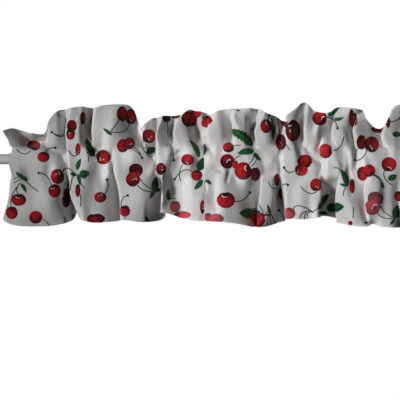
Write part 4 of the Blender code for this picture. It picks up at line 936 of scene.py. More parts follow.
# stalks: from the fruit over the middle of their curve to the far end, and
# whether that end has a knob
#   x0     y0     x1     y1     x2     y2    knob
STALKS = [
    ( 30.9, 150.6,  24.0, 153.8,  16.4, 149.2, 0),
    ( 45.6, 154.2,  48.6, 149.0,  56.2, 147.9, 1),
    ( 64.4, 133.4,  58.6, 135.4,  51.0, 131.6, 1),
    ( 64.0, 135.6,  59.2, 136.6,  54.6, 134.4, 0),
    ( 77.6, 153.8,  73.2, 155.8,  68.6, 150.4, 0),
    ( 96.6, 156.2,  91.0, 155.2,  86.2, 151.6, 0),
    ( 91.6, 155.4,  88.8, 156.8,  88.4, 161.8, 0),
    ( 61.8, 172.6,  66.8, 168.0,  73.8, 173.4, 0),
    ( 51.8, 186.0,  46.2, 175.8,  37.6, 172.8, 1),
    ( 71.2, 175.2,  68.6, 181.0,  67.8, 188.6, 0),
    ( 73.0, 176.0,  71.2, 183.0,  70.6, 190.0, 0),
    ( 79.4, 181.0,  81.4, 184.4,  84.2, 188.0, 0),
    ( 80.4, 194.4,  80.9, 200.4,  80.7, 206.6, 0),
    ( 18.6, 195.4,  16.8, 189.2,  19.2, 184.0, 0),
    ( 11.6, 207.8,  12.0, 196.6,  20.2, 182.6, 0),
    ( 23.0, 178.0,  30.4, 185.4,  38.6, 191.8, 0),
    ( 22.6, 177.6,  18.0, 177.2,  13.6, 179.6, 0),
    ( 23.4, 178.6,  18.4, 180.2,  14.2, 183.4, 0),
    ( 41.0, 218.4,  45.2, 220.6,  49.4, 225.4, 0),
    ( 64.6, 217.6,  64.8, 220.2,  65.2, 223.2, 0),
    ( 73.6, 213.6,  72.8, 217.0,  72.6, 220.6, 0),
    ( 57.4, 112.4,  58.4, 114.4,  59.8, 117.0, 0),
    (119.6, 119.6, 114.8, 126.0, 110.2, 132.2, 0),
    (129.2, 121.6, 124.4, 131.0, 110.6, 131.8, 0),
    (132.4, 146.8, 138.0, 150.6, 142.4, 158.8, 1),
    (131.2, 148.0, 136.8, 152.0, 141.2, 156.0, 0),
    (143.6, 141.6, 143.6, 150.0, 151.6, 157.6, 0),
    (137.2, 184.8, 143.6, 190.2, 152.6, 191.6, 0),
    (140.2, 178.6, 144.8, 184.8, 152.6, 189.8, 0),
    (163.2, 174.4, 162.8, 179.0, 161.2, 184.2, 0),
    (104.0, 194.6, 108.0, 187.2, 106.4, 178.6, 1),
    (121.4, 206.2, 122.6, 198.6, 128.8, 195.2, 1),
    (166.6, 121.8, 167.4, 127.0, 167.4, 134.2, 0),
    (168.4, 143.4, 172.4, 150.2, 173.6, 161.2, 1),
    (182.8, 164.6, 179.6, 172.2, 180.6, 181.2, 0),
    (191.8, 171.6, 183.4, 170.4, 174.0, 180.0, 1),
    (170.2, 198.8, 172.8, 198.6, 176.2, 199.0, 0),
    (204.9, 114.4, 205.0, 116.6, 205.2, 119.4, 0),
    (205.0, 181.4, 204.8, 186.0, 205.2, 191.4, 0),
    (232.8, 146.4, 235.8, 145.4, 240.0, 145.6, 0),
    (234.6, 159.8, 237.0, 157.2, 240.6, 155.6, 0),
    (248.8, 163.4, 252.8, 159.4, 253.4, 153.4, 0),
    (251.2, 166.2, 255.8, 161.0, 256.0, 153.4, 0),
    (234.2, 201.5, 243.4, 199.4, 250.4, 191.4, 1),
    (268.2, 121.2, 268.6, 117.8, 269.6, 114.4, 1),
    (276.4, 117.4, 281.0, 121.4, 286.6, 127.4, 0),
    (277.6, 117.4, 278.6, 125.4, 279.6, 133.8, 0),
    (270.8, 117.6, 272.0, 120.6, 273.0, 124.0, 0),
    (286.0, 144.4, 288.0, 147.2, 289.8, 150.4, 0),
    (275.9, 185.6, 272.4, 188.0, 268.2, 181.4, 0),
    (282.2, 188.0, 284.6, 184.2, 288.6, 185.6, 1),
    (295.0, 170.6, 288.4, 172.2, 283.6, 166.6, 1),
    (270.6, 213.6, 273.0, 218.4, 276.2, 223.4, 0),
    (270.4, 214.2, 270.0, 219.4, 271.2, 225.0, 0),
    (269.6, 214.2, 267.4, 219.2, 267.4, 225.4, 0),
    (263.4, 213.2, 261.4, 208.8, 259.6, 204.6, 0),
    (264.0, 217.2, 266.8, 212.0, 270.2, 210.8, 0),
    (283.4, 220.6, 281.8, 214.0, 278.0, 209.6, 1),
    (256.0, 209.6, 254.6, 208.4, 252.0, 210.4, 0),
    (292.8, 210.2, 299.0, 205.8, 313.2, 212.2, 0),
    (299.8, 218.6, 303.4, 212.4, 311.6, 210.6, 0),
    (304.8, 219.0, 304.4, 215.8, 306.6, 212.2, 0),
    (307.0, 216.4, 308.6, 212.2, 313.2, 212.4, 0),
    (313.2, 212.4, 318.6, 208.4, 328.4, 208.6, 0),
    (334.0, 168.2, 337.2, 168.0, 340.8, 170.6, 0),
    (345.6, 187.6, 343.8, 191.0, 343.4, 195.8, 0),
    (327.2, 117.0, 334.6, 121.0, 337.6, 129.4, 1),
    (327.0, 117.4, 329.6, 117.8, 332.6, 118.8, 0),
    (332.6, 150.6, 340.0, 146.8, 343.4, 137.2, 0),
    (357.8, 148.8, 355.4, 154.4, 354.6, 160.8, 1),
    (366.8, 150.4, 362.4, 157.8, 355.0, 161.0, 0),
    (384.8, 169.8, 384.6, 177.8, 392.8, 185.6, 0),
    (371.6, 175.2, 377.4, 177.6, 381.6, 184.2, 0),
    (372.6, 174.2, 379.0, 177.4, 382.8, 183.4, 0),
    (317.2, 191.2, 309.2, 193.2, 300.6, 186.6, 0),
    (377.6, 213.2, 383.6, 217.8, 394.0, 218.6, 0),
    (380.4, 205.6, 385.4, 212.8, 394.2, 217.6, 0),
    (353.2, 207.0, 353.2, 212.0, 352.9, 218.4, 0),
    (401.0, 115.6, 396.0, 120.6, 388.8, 121.4, 0),
]

RIPPLE = 0.15           # mm, unevenness of the hanging cloth
PUCKER = 0.15           # mm, gathers at the two seams
SEAM_DIP = 0.10         # mm, how far the stitching draws the cloth in


def scatter(width, seed):
    """The same sprigs on what the picture doesn't show: the back of the
    header, the cloth behind the rod, the hidden flanks and the right end."""
    rng = np.random.default_rng(seed)
    spacing = 19.0
    flat = width.flat / STEP
    long = width.t.mean(axis=0)
    for a in np.arange(6.0, flat[-1], spacing):
        for n, b in enumerate(np.arange(5.0, long[-1], spacing)):
            s = a + (0.5 * spacing if n % 2 else 0.0) + rng.uniform(-2.5, 2.5)
            t = b + rng.uniform(-2.5, 2.5)
            kind, turn = int(rng.integers(0, 3)), rng.uniform(0, 360)
            if s < 3 or s > flat[-1] - 3:
                continue
            fi = float(np.interp(s, flat, np.arange(len(flat))))
            fj = float(np.interp(t, width.t[int(fi)], np.arange(width.t.shape[1])))
            part, u, v = width.window(fi, fj, 14)
            room = np.hypot(u, v)[width.shows[part]].min(initial=99.0)
            if room < 8.0:
                continue
            if room < 11.5:
                kind = 3
            close = np.hypot(u, v) < (6.5 if kind == 3 else 8.5)
            cells = (slice(part[0].start, part[0].stop - 1), slice(part[1].start, part[1].stop - 1))
            if any((taken[cells] & close[:-1, :-1]).any()
                   for k in ('cherry', 'leaf') for taken, _ in width.kinds[k]):
                continue
            c, w = math.cos(math.radians(turn)), math.sin(math.radians(turn))
            x, y = u * c + v * w, v * c - u * w
            tone = rng.uniform(0.4, 0.85)
            if kind == 3:
                width.cherry(part, x, y, 6.4, 6.2, 80, 0.6, 1, tone)
            elif kind == 0:
                width.cherry(part, x + 1, y + 4, 6.9, 6.6, 80, 0.6, 1, tone)
                width.stalk(part, x, y, ((0.0, 0.4), (2.6, 6.0), (8.0, 9.0)), 1)
            elif kind == 1:
                width.cherry(part, x + 5.5, y + 4, 6.7, 6.9, 60, 0.7, 0, 0.5 * tone)
                width.cherry(part, x - 4.6, y + 5.5, 6.8, 6.6, 110, 0.4, 2, tone)
                width.stalk(part, x, y, ((-4.2, -0.4), (0.4, 4.0), (2.4, 8.6)), 0)
                width.stalk(part, x, y, ((3.8, -0.6), (1.4, 2.6), (2.2, 9.0)), 1)
            else:
                width.cherry(part, x + 3.5, y + 4.5, 6.6, 6.8, 80, 0.6, 2, tone)
                width.leaf(part, x, y, 2.4, 3.0, 11.0, 8.4, 6.6, 0.05, 0.4)
                width.stalk(part, x, y, ((-2.6, 0.2), (-0.8, 3.6), (3.2, 3.4)), 0)


def make_sheet(width, layers, materials):
    """The width as a closed sheet: right side, wrong side and the cut edges,
    with the print's coordinates, the flat cloth's and a map for each side."""
    p = width.points
    half = 0.5 * CLOTH * sheet_normals(p)
    nu, nv = p.shape[:2]
    verts = np.concatenate([(p + half).reshape(-1, 3), (p - half).reshape(-1, 3)])
    grid = np.arange(nu * nv).reshape(nu, nv)
    other = grid + nu * nv
    quad = lambda g: np.stack([g[:-1, :-1], g[1:, :-1], g[1:, 1:], g[:-1, 1:]], axis=2).reshape(-1, 4)
    right, wrong = quad(grid), quad(other)[:, [0, 3, 2, 1]]
    walk = ([(i, 0) for i in range(nu)] + [(nu - 1, j) for j in range(1, nv)]
            + [(i, nv - 1) for i in range(nu - 2, -1, -1)] + [(0, j) for j in range(nv - 2, -1, -1)])
    walk = np.array([grid[i, j] for i, j in walk])
    rim = np.stack([walk[:-1] + nu * nv, walk[1:] + nu * nv, walk[1:], walk[:-1]], axis=1)
    faces = np.concatenate([right, wrong, rim])
    mesh = bpy.data.meshes.new(width.name)
    mesh.vertices.add(len(verts))
    mesh.vertices.foreach_set('co', verts.astype(np.float32).ravel())
    mesh.loops.add(faces.size)
    mesh.loops.foreach_set('vertex_index', faces.astype(np.int32).ravel())
    mesh.polygons.add(len(faces))
    mesh.polygons.foreach_set('loop_start', np.arange(0, faces.size, 4, dtype=np.int32))
    n = len(right)
    for mat in materials:
        mesh.materials.append(mat)
    mesh.polygons.foreach_set('material_index', np.repeat([0, 1, 1], [n, n, len(rim)]).astype(np.int32))
    mesh.update(calc_edges=True)
    mesh.shade_smooth()
    mesh.set_sharp_from_angle(angle=math.radians(75))

    def give(name, sides, edge):
        """A corner attribute: sides holds the right side's corners."""
        values = sides.reshape(nu - 1, nv - 1, 4, 3)
        both = np.concatenate([values.reshape(-1, 3), values[:, :, [0, 3, 2, 1]].reshape(-1, 3),
                               np.tile(np.array(edge, float), (len(rim) * 4, 1))])
        mesh.attributes.new(name, 'FLOAT_VECTOR', 'CORNER').data.foreach_set(
            'vector', both.astype(np.float32).ravel())

    for kind, count in layers.items():
        for k in range(count):
            have = width.kinds[kind]
            values = have[k][1] if k < len(have) else np.tile(
                np.array(OUTSIDE, np.float32), (nu - 1, nv - 1, 4, 1))
            give(f'{kind}_{k + 1}', values, OUTSIDE)
    corners = lambda g: np.stack([g[:-1, :-1], g[1:, :-1], g[1:, 1:], g[:-1, 1:]], axis=2)
    flat_s = np.broadcast_to(width.flat[:, None], (nu, nv))
    t = width.t * STEP
    give('cloth', corners(np.stack([flat_s, t, np.zeros_like(t)], axis=2)), (0, 0, 0))
    # signed lengths from the hem's, the pocket's and the header's stitching
    a, b, c, d = width.lines
    first = np.arange(nv)[None, :] < (width.n_front + 4)
    hem = t - HEM
    low = np.where(first, t - t[:, a:a + 1], t[:, d:d + 1] - 0.004 - t)
    high = np.where(first, t - t[:, b:b + 1], t - t[:, c:c + 1])
    give('stitching', corners(np.stack([hem, low, high], axis=2)), (1, 1, 1))

    across = np.linspace(0.004, 0.996, nu)
    up = t.mean(axis=0) / t.mean(axis=0)[-1]
    uv = lambda lo, hi: np.stack(np.broadcast_arrays(
        across[:, None], (lo + (hi - lo) * up)[None, :]), axis=2)
    rim_u = np.linspace(0.004, 0.996, len(rim) + 1)
    strip = np.stack([np.stack([rim_u[:-1], rim_u[1:], rim_u[1:], rim_u[:-1]], axis=1),
                      np.tile([0.494, 0.494, 0.506, 0.506], (len(rim), 1))], axis=2)
    flat = np.concatenate([corners(uv(0.512, 0.996)).reshape(-1, 2),
                           corners(uv(0.004, 0.488))[:, :, [0, 3, 2, 1]].reshape(-1, 2),
                           strip.reshape(-1, 2)])
    mesh.uv_layers.new(name='OFBake').data.foreach_set('uv', flat.astype(np.float32).ravel())
    piece = bpy.data.objects.new(width.name, mesh)
    bpy.context.scene.collection.objects.link(piece)
    return piece


# ---------------------------------------------------------------- materials
HEM = 0.011             # width of the turned-up hem


class Nodes:
    """Short words for building a node tree."""

    def __init__(self, tree):
        self.tree = tree

    def new(self, kind, **settings):
        node = self.tree.nodes.new(kind)
        for key, value in settings.items():
            setattr(node, key, value)
        return node

    def put(self, socket, value):
        if isinstance(value, bpy.types.NodeSocket):
            self.tree.links.new(value, socket)
        elif isinstance(value, (tuple, list)) and len(value) == 3 and socket.type == 'RGBA':
            socket.default_value = (*value, 1.0)
        else:
            socket.default_value = value

    def math(self, op, a, b=0.0, c=0.0, clamp=False):
        node = self.new('ShaderNodeMath', operation=op, use_clamp=clamp)
        for socket, value in zip(node.inputs, (a, b, c)):
            self.put(socket, value)
        return node.outputs[0]

    def add(self, a, b): return self.math('ADD', a, b)
    def sub(self, a, b): return self.math('SUBTRACT', a, b)
    def mul(self, a, b): return self.math('MULTIPLY', a, b)
    def div(self, a, b): return self.math('DIVIDE', a, b)

    def ramp(self, x, lo, hi, a=0.0, b=1.0):
        """From a to b as x goes from lo to hi, with soft ends."""
        node = self.new('ShaderNodeMapRange', interpolation_type='SMOOTHSTEP')
        for socket, value in zip(node.inputs[:5], (x, lo, hi, a, b)):
            self.put(socket, value)
        return node.outputs[0]

    def mix(self, fac, a, b, blend='MIX'):
        node = self.new('ShaderNodeMix', data_type='RGBA', blend_type=blend)
        self.put(node.inputs[0], fac)
        self.put(node.inputs[6], a)
        self.put(node.inputs[7], b)
        return node.outputs[2]

    def noise(self, vector, scale, detail=2.0, rough=0.5, dims='3D'):
        node = self.new('ShaderNodeTexNoise', noise_dimensions=dims)
        self.put(node.inputs['Vector'], vector)
        node.inputs['Scale'].default_value = scale
        node.inputs['Detail'].default_value = detail
        node.inputs['Roughness'].default_value = rough
        return node.outputs['Fac']

    def split(self, vector):
        node = self.new('ShaderNodeSeparateXYZ')
        self.put(node.inputs[0], vector)
        return node.outputs[0], node.outputs[1], node.outputs[2]

    def join(self, x, y, z=0.0):
        node = self.new('ShaderNodeCombineXYZ')
        for socket, value in zip(node.inputs, (x, y, z)):
            self.put(socket, value)
        return node.outputs[0]

    def attribute(self, name):
        return self.new('ShaderNodeAttribute', attribute_name=name).outputs['Vector']


def group(name, draw):
    """A group that turns a motif's coordinates into its colour and its mask."""
    tree = bpy.data.node_groups.new(name, 'ShaderNodeTree')
    tree.interface.new_socket('Place', in_out='INPUT', socket_type='NodeSocketVector')
    tree.interface.new_socket('Cloth', in_out='INPUT', socket_type='NodeSocketVector')
    tree.interface.new_socket('Colour', in_out='OUTPUT', socket_type='NodeSocketColor')
    tree.interface.new_socket('Mask', in_out='OUTPUT', socket_type='NodeSocketFloat')
    n = Nodes(tree)
    start, end = n.new('NodeGroupInput'), n.new('NodeGroupOutput')
    colour, mask = draw(n, start.outputs[0], start.outputs[1])
    n.put(end.inputs[0], colour)
    n.put(end.inputs[1], mask)
    return tree


def decode(n, z, base):
    """Whole part of z / base, and the rest."""
    whole = n.math('FLOOR', n.div(z, base))
    return whole, n.sub(z, n.mul(whole, base))


def draw_cherry(n, place, cloth):
    x, y, z = n.split(place)
    shine, rest = decode(n, z, 100.0)
    hollow, rest = decode(n, rest, 10.0)
    hollow = n.mul(hollow, 0.1)
    tone = n.div(n.sub(rest, 0.5), 9.0)
    # outline: round, a little drawn in where the stalk sits
    waver = n.mul(n.sub(n.noise(cloth, 420.0, 2.0), 0.5), 0.10)
    notch = n.mul(n.ramp(n.math('ABSOLUTE', x), 0.0, 0.42, 1.0, 0.0), n.ramp(y, 0.55, 1.0, 0.0, 0.09))
    r = n.add(n.add(n.math('SQRT', n.add(n.mul(x, x), n.mul(y, y))), notch), waver)
    mask = n.ramp(r, 0.955, 1.035, 1.0, 0.0)
    # the dimple and lengths from it
    dy = n.sub(y, hollow)
    from_dimple = n.math('SQRT', n.add(n.mul(x, x), n.mul(n.mul(dy, dy), 2.2)))
    angle = n.math('ARCTAN2', x, dy)
    # brush strokes that fan out from the dimple, and the weave showing through
    streak = n.noise(n.join(n.mul(angle, 3.4), n.mul(from_dimple, 1.1), z), 1.6, 3.0, 0.65)
    speck = n.noise(n.join(n.mul(n.split(cloth)[0], 1.0), n.mul(n.split(cloth)[1], 0.55)), 950.0, 2.0, 0.7)
    light = n.add(n.mul(n.add(n.mul(x, -0.55), n.mul(y, -0.35)), 0.60), 0.68)
    light = n.sub(light, n.mul(n.ramp(r, 0.50, 1.0), 0.42))
    light = n.sub(light, n.mul(n.ramp(from_dimple, 0.0, 0.70, 1.0, 0.0), 0.66))
    light = n.add(light, n.mul(n.sub(streak, 0.5), 1.9))
    light = n.add(light, n.mul(n.sub(speck, 0.5), 0.75))
    # the tone darkens or lightens the whole cherry; a low tone partly paints the shade that cherry lay in
    light = n.add(light, n.mul(n.sub(tone, 0.62), 0.95))
    dark = n.mix(n.ramp(light, 0.02, 0.50), (0.052, 0.0045, 0.0065), (0.200, 0.0062, 0.0110))
    red = n.mix(n.ramp(light, 0.36, 1.0), dark, (0.47, 0.021, 0.027))
    # washed-out cherries
    faded = n.math('GREATER_THAN', shine, 3.5)
    pale = n.mix(n.ramp(light, 0.1, 0.9), (0.26, 0.075, 0.085), (0.66, 0.115, 0.135))
    red = n.mix(n.mul(faded, 0.85), red, pale)
    # white of the gleam: a short curved stroke beside the dimple, and specks
    grow = n.math('MULTIPLY_ADD', shine, 0.055, 0.20)
    ring = n.math('ABSOLUTE', n.sub(from_dimple, grow))
    below = n.ramp(n.add(n.mul(dy, -1.0), n.mul(x, -0.55)), 0.02, 0.16)
    gleam = n.mul(n.ramp(ring, 0.045, 0.12, 1.0, 0.0), below)
    has = n.mul(n.math('GREATER_THAN', shine, 0.5), n.math('LESS_THAN', shine, 3.5))
    has = n.math('MAXIMUM', has, n.math('GREATER_THAN', shine, 4.5))
    spot = n.ramp(n.math('SQRT', n.add(
        n.math('POWER', n.math('ABSOLUTE', n.add(x, 0.34)), 2.0),
        n.mul(n.math('POWER', n.math('ABSOLUTE', n.add(dy, 0.52)), 2.0), 0.35))), 0.05, 0.12, 1.0, 0.0)
    gleam = n.math('MAXIMUM', gleam, n.mul(n.mul(spot, 0.65), n.math('LESS_THAN', shine, 1.5)))
    gleam = n.mul(gleam, n.mul(has, n.ramp(streak, 0.22, 0.5, 0.55, 1.0)))
    red = n.mix(n.mul(gleam, 0.92), red, (0.72, 0.68, 0.67))
    # dark stalk end
    red = n.mix(n.ramp(from_dimple, 0.04, 0.15, 0.9, 0.0), red, (0.020, 0.012, 0.006))
    return red, mask


def draw_leaf(n, place, cloth):
    x, y, z = n.split(place)
    half, rest = decode(n, z, 10.0)
    half = n.mul(half, 0.01)
    tone = n.div(n.sub(rest, 0.5), 9.0)
    inner = n.math('MINIMUM', n.math('MAXIMUM', x, 0.0005), 0.9995)
    shape = n.mul(n.math('POWER', inner, 0.62), n.math('POWER', n.sub(1.0, inner), 0.88))
    teeth = n.math('FRACT', n.mul(inner, 8.0))
    side = n.mul(n.mul(n.div(shape, 0.37), half), n.math('MULTIPLY_ADD', teeth, -0.34, 1.16))
    off = n.math('ABSOLUTE', y)
    edge = n.div(n.sub(side, off), 0.03)
    mask = n.mul(n.ramp(edge, -0.6, 0.6), n.mul(n.math('GREATER_THAN', x, 0.0), n.math('LESS_THAN', x, 1.0)))
    rib = n.ramp(off, 0.008, 0.024, 1.0, 0.0)
    veins = n.math('FRACT', n.mul(n.sub(x, n.mul(off, 1.1)), 6.0))
    vein = n.ramp(n.math('ABSOLUTE', n.sub(veins, 0.5)), 0.03, 0.12, 1.0, 0.0)
    brush = n.noise(n.join(n.mul(x, 3.0), n.mul(y, 9.0), z), 1.7, 3.0, 0.65)
    speck = n.noise(cloth, 900.0, 2.0, 0.7)
    light = n.add(n.mul(n.sub(brush, 0.5), 1.2), n.add(tone, n.mul(n.sub(speck, 0.5), 0.3)))
    light = n.add(light, n.mul(n.math('SIGN', y), 0.10))
    green = n.mix(n.ramp(light, -0.1, 0.45), (0.0035, 0.026, 0.0085), (0.012, 0.094, 0.028))
    green = n.mix(n.ramp(light, 0.40, 1.1), green, (0.050, 0.205, 0.070))
    green = n.mix(n.mul(n.math('MAXIMUM', rib, n.mul(vein, 0.55)), n.mul(tone, 0.75)), green, (0.15, 0.30, 0.13))
    return green, mask


def draw_stalk(n, place, cloth):
    along, off, z = n.split(place)
    knob, size = decode(n, z, 1000.0)
    off = n.math('ABSOLUTE', off)
    thick = n.add(0.36, n.mul(n.noise(n.join(along, z), 0.35, 1.0), 0.22))
    end = n.mul(n.mul(knob, n.ramp(n.sub(along, size), -3.2, -0.4)), 0.85)
    thick = n.add(thick, end)
    inside = n.mul(n.ramp(along, -0.35, 0.25), n.ramp(n.sub(size, along), -0.35, 0.35))
    mask = n.mul(n.ramp(n.sub(thick, off), -0.18, 0.18), inside)
    light = n.add(n.noise(n.join(along, n.mul(off, 3.0), z), 0.5, 2.0), n.mul(end, -0.3))
    green = n.mix(n.ramp(light, 0.3, 0.75), (0.0065, 0.036, 0.015), (0.030, 0.105, 0.042))
    return green, mask


def cotton(name, layers, groups, strength):
    """Matt plain-weave cotton, white with a print; strength is how much of the
    print shows on this side."""
    mat = bpy.data.materials.new(name)
    mat.use_nodes = True
    n = Nodes(mat.node_tree)
    shader = mat.node_tree.nodes['Principled BSDF']
    cloth = n.attribute('cloth')
    s, t, _ = n.split(cloth)
    # plain weave: warp and weft 0.5 mm apart, uneven threads
    pitch = 2 * math.pi / 0.00050
    sway = n.mul(n.sub(n.noise(cloth, 160.0, 2.0), 0.5), 0.0003)
    warp = n.math('SINE', n.mul(n.add(s, sway), pitch))
    weft = n.math('SINE', n.mul(n.add(t, sway), pitch))
    slub_up = n.noise(n.join(n.mul(s, 9.0), n.mul(t, 0.55)), 130.0, 3.0, 0.6)
    slub_across = n.noise(n.join(n.mul(s, 0.55), n.mul(t, 9.0)), 130.0, 3.0, 0.6)
    weave = n.add(n.mul(n.mul(warp, weft), 0.5), n.add(n.mul(n.math('MAXIMUM', warp, 0.0), 0.3),
                                                        n.mul(n.math('MAXIMUM', weft, 0.0), 0.3)))
    # colour of the bare cotton
    patch = n.noise(cloth, 22.0, 3.0, 0.55)
    white = n.mix(n.ramp(patch, 0.3, 0.75), (0.655, 0.645, 0.640), (0.695, 0.690, 0.690))
    thread = n.add(n.mul(n.sub(slub_up, 0.5), 0.20), n.mul(n.sub(slub_across, 0.5), 0.16))
    thread = n.add(thread, n.mul(weave, 0.035))
    colour = white
    for kind in ('leaf', 'cherry', 'stalk'):
        for k in range(layers[kind]):
            node = n.new('ShaderNodeGroup', node_tree=groups[kind])
            n.put(node.inputs[0], n.attribute(f'{kind}_{k + 1}'))
            n.put(node.inputs[1], cloth)
            mask = node.outputs[1] if strength == 1.0 else n.mul(node.outputs[1], strength)
            colour = n.mix(mask, colour, node.outputs[0])
    colour = n.mix(1.0, colour, n.join(*[n.add(1.0, thread)] * 3), 'MULTIPLY')
    # stitching: short white stitches with their shadow
    hem, low, high = n.split(n.attribute('stitching'))
    near = lambda d: n.math('ABSOLUTE', d)
    line = n.math('MINIMUM', near(hem), n.math('MINIMUM', near(low), near(high)))
    dash = n.ramp(n.math('ABSOLUTE', n.sub(n.math('FRACT', n.div(s, 0.0029)), 0.5)), 0.36, 0.42, 1.0, 0.0)
    thread_mask = n.mul(n.ramp(line, 0.00020, 0.00030, 1.0, 0.0), dash)
    shade = n.ramp(line, 0.00025, 0.0011, 1.0, 0.0)
    colour = n.mix(n.mul(shade, 0.07), colour, (0.25, 0.24, 0.24))
    colour = n.mix(n.mul(thread_mask, 0.12), colour, (0.70, 0.69, 0.68))
    n.put(shader.inputs['Base Color'], colour)
    rough = n.add(0.84, n.mul(n.sub(slub_up, 0.5), 0.14))
    n.put(shader.inputs['Roughness'], rough)
    shader.inputs['Specular IOR Level'].default_value = 0.25
    shader.inputs['Sheen Weight'].default_value = 0.10
    shader.inputs['Sheen Roughness'].default_value = 0.5
    # relief in the cloth, metres
    height = n.mul(weave, 0.00003)
    height = n.add(height, n.mul(n.sub(slub_up, 0.5), 0.00010))
    height = n.add(height, n.mul(n.sub(slub_across, 0.5), 0.00009))
    height = n.add(height, n.mul(n.sub(n.noise(n.join(s, n.mul(t, 0.6)), 240.0, 3.0, 0.55), 0.5), 0.00028))
    height = n.add(height, n.mul(thread_mask, 0.00022))
    height = n.add(height, n.mul(n.ramp(hem, -0.0004, 0.0004, 0.00035, 0.0), 1.0))
    bump = n.new('ShaderNodeBump')
    bump.inputs['Strength'].default_value = 0.8
    bump.inputs['Distance'].default_value = 1.0
    n.put(bump.inputs['Height'], height)
    n.put(shader.inputs['Normal'], bump.outputs[0])
    return mat


def enamel():
    """White baked enamel of the rod: faint orange peel, handling marks."""
    mat = bpy.data.materials.new('rod_enamel')
    mat.use_nodes = True
    n = Nodes(mat.node_tree)
    shader = mat.node_tree.nodes['Principled BSDF']
    where = n.new('ShaderNodeTexCoord').outputs['Object']
    x, y, z = n.split(where)
    cloud = n.noise(where, 30.0, 3.0)
    rub = n.noise(n.join(n.mul(x, 12.0), n.mul(y, 90.0), n.mul(z, 90.0)), 4.0, 4.0, 0.6)
    colour = n.mix(n.ramp(cloud, 0.3, 0.7), (0.88, 0.88, 0.87), (0.92, 0.92, 0.915))
    # a thin darker grey ring round the outer tube's cut end
    step = n.ramp(n.math('ABSOLUTE', n.sub(x, SLEEVE_START)), 0.0004, 0.0016, 1.0, 0.0)
    colour = n.mix(n.mul(step, 0.35), colour, (0.45, 0.45, 0.45))
    colour = n.mix(n.mul(n.ramp(rub, 0.60, 0.75), 0.25), colour, (0.62, 0.62, 0.61))
    n.put(shader.inputs['Base Color'], colour)
    n.put(shader.inputs['Roughness'], n.ramp(rub, 0.35, 0.75, 0.30, 0.48))
    shader.inputs['Coat Weight'].default_value = 0.25
    shader.inputs['Coat Roughness'].default_value = 0.2
    bump = n.new('ShaderNodeBump')
    bump.inputs['Strength'].default_value = 0.3
    bump.inputs['Distance'].default_value = 1.0
    n.put(bump.inputs['Height'], n.mul(n.noise(where, 900.0, 2.0), 0.00004))
    n.put(shader.inputs['Normal'], bump.outputs[0])
    return mat


# ---------------------------------------------------------------- the studio
def make_light(name, place, target, size, power, spread=180.0):
    """A soft box; spread is the angle of its grid in degrees."""
    light = bpy.data.lights.new(name, 'AREA')
    light.shape = 'RECTANGLE'
    light.size, light.size_y = size
    light.energy = power
    light.spread = math.radians(spread)
    obj = bpy.data.objects.new(name, light)
    obj.location = place
    obj.rotation_euler = (Vector(target) - Vector(place)).to_track_quat('-Z', 'Y').to_euler()
    bpy.context.scene.collection.objects.link(obj)
    return obj


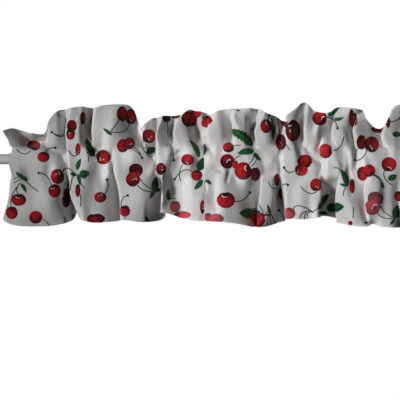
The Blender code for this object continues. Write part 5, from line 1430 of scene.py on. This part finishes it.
def make_studio():
    scene = bpy.context.scene
    camera = bpy.data.cameras.new('camera')
    camera.lens, camera.sensor_width, camera.clip_end = LENS, SENSOR, 60.0
    obj = bpy.data.objects.new('camera', camera)
    obj.location = CAMERA
    obj.rotation_euler = (math.radians(90.0), 0.0, 0.0)
    scene.collection.objects.link(obj)
    scene.camera = obj
    scene.view_settings.view_transform = 'Standard'
    scene.view_settings.gamma = 0.85

    world = bpy.data.worlds.new('studio')
    scene.world = world
    world.use_nodes = True
    n = Nodes(world.node_tree)
    back = world.node_tree.nodes['Background']
    path = n.new('ShaderNodeLightPath')
    back.inputs['Color'].default_value = (1.0, 1.0, 1.0, 1.0)
    n.put(back.inputs['Strength'], n.ramp(path.outputs['Is Camera Ray'], 0.0, 1.0, WORLD, 1.0))

    make_light('key', (-0.932, -1.915, 0.11), (0.675, 0.0, -0.01), (0.96, 0.90), KEY, 16.0)
    make_light('fill', (0.9, -1.8, 0.1), (0.7, 0.0, -0.08), (0.8, 0.8), FILL)
    make_light('end', (-0.16, -0.75, 0.80), (-0.022, 0.0, 0.0), (0.08, 0.08), END, 5.0)
    make_light('back', (1.9, 2.4, 0.9), (0.48, 0.0, -0.05), (1.2, 1.2), BACK)

    mesh = bpy.data.meshes.new('floor')
    z = -0.62
    mesh.from_pydata([(-1.1, -1.4, z), (2.1, -1.4, z), (2.1, 0.45, z), (-1.1, 0.45, z)], [], [(0, 1, 2, 3)])
    floor = bpy.data.objects.new('floor', mesh)
    mat = bpy.data.materials.new('floor')
    mat.use_nodes = True
    n = Nodes(mat.node_tree)
    shader = mat.node_tree.nodes['Principled BSDF']
    path = n.new('ShaderNodeLightPath')
    shader.inputs['Base Color'].default_value = (0.30, 0.30, 0.30, 1.0)
    shader.inputs['Roughness'].default_value = 0.9
    shader.inputs['Specular IOR Level'].default_value = 0.0
    shader.inputs['Emission Color'].default_value = (1.0, 1.0, 1.0, 1.0)
    n.put(shader.inputs['Emission Strength'], n.mul(path.outputs['Is Camera Ray'], 0.93))
    mesh.materials.append(mat)
    scene.collection.objects.link(floor)


WORLD, KEY, FILL, END, BACK = 0.03, 2.75, 0.42, 0.032, 40.0
SLEEVE_START = 0.067


def main():
    make_studio()
    left = Width('cloth_left', 3.0, SEAM_U, N_LEFT, -0.5 * PANEL_GAP, 11)
    right = Width('cloth_right', SEAM_U, 430.0, N_RIGHT, 0.5 * PANEL_GAP, 23)
    side = lambda x: left if x < SEAM_U - 0.2 else right
    for row in LEAVES:
        side(0.5 * (row[0] + row[2])).put_leaf(*row)
    for row in CHERRIES:
        side(row[0]).put_cherry(*row)
    for row in STALKS:
        side(0.5 * (row[0] + row[4])).put_stalk(*row)
    scatter(left, 5)
    scatter(right, 6)
    layers = {kind: max(len(left.kinds[kind]), len(right.kinds[kind]), 1)
              for kind in left.kinds}
    groups = {'cherry': group('cherry', draw_cherry), 'leaf': group('leaf', draw_leaf),
              'stalk': group('stalk', draw_stalk)}
    materials = [cotton('cotton_print', layers, groups, 1.0),
                 cotton('cotton_wrong_side', layers, groups, 0.16)]
    print('layers', layers)
    for width, node in ((left, 'panel_left'), (right, 'panel_right')):
        piece = make_sheet(width, layers, materials)
        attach(piece, 'root')
        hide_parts(node)
    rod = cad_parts['rod']
    rod.material_slots[0].link = 'OBJECT'
    rod.material_slots[0].material = enamel()


main()
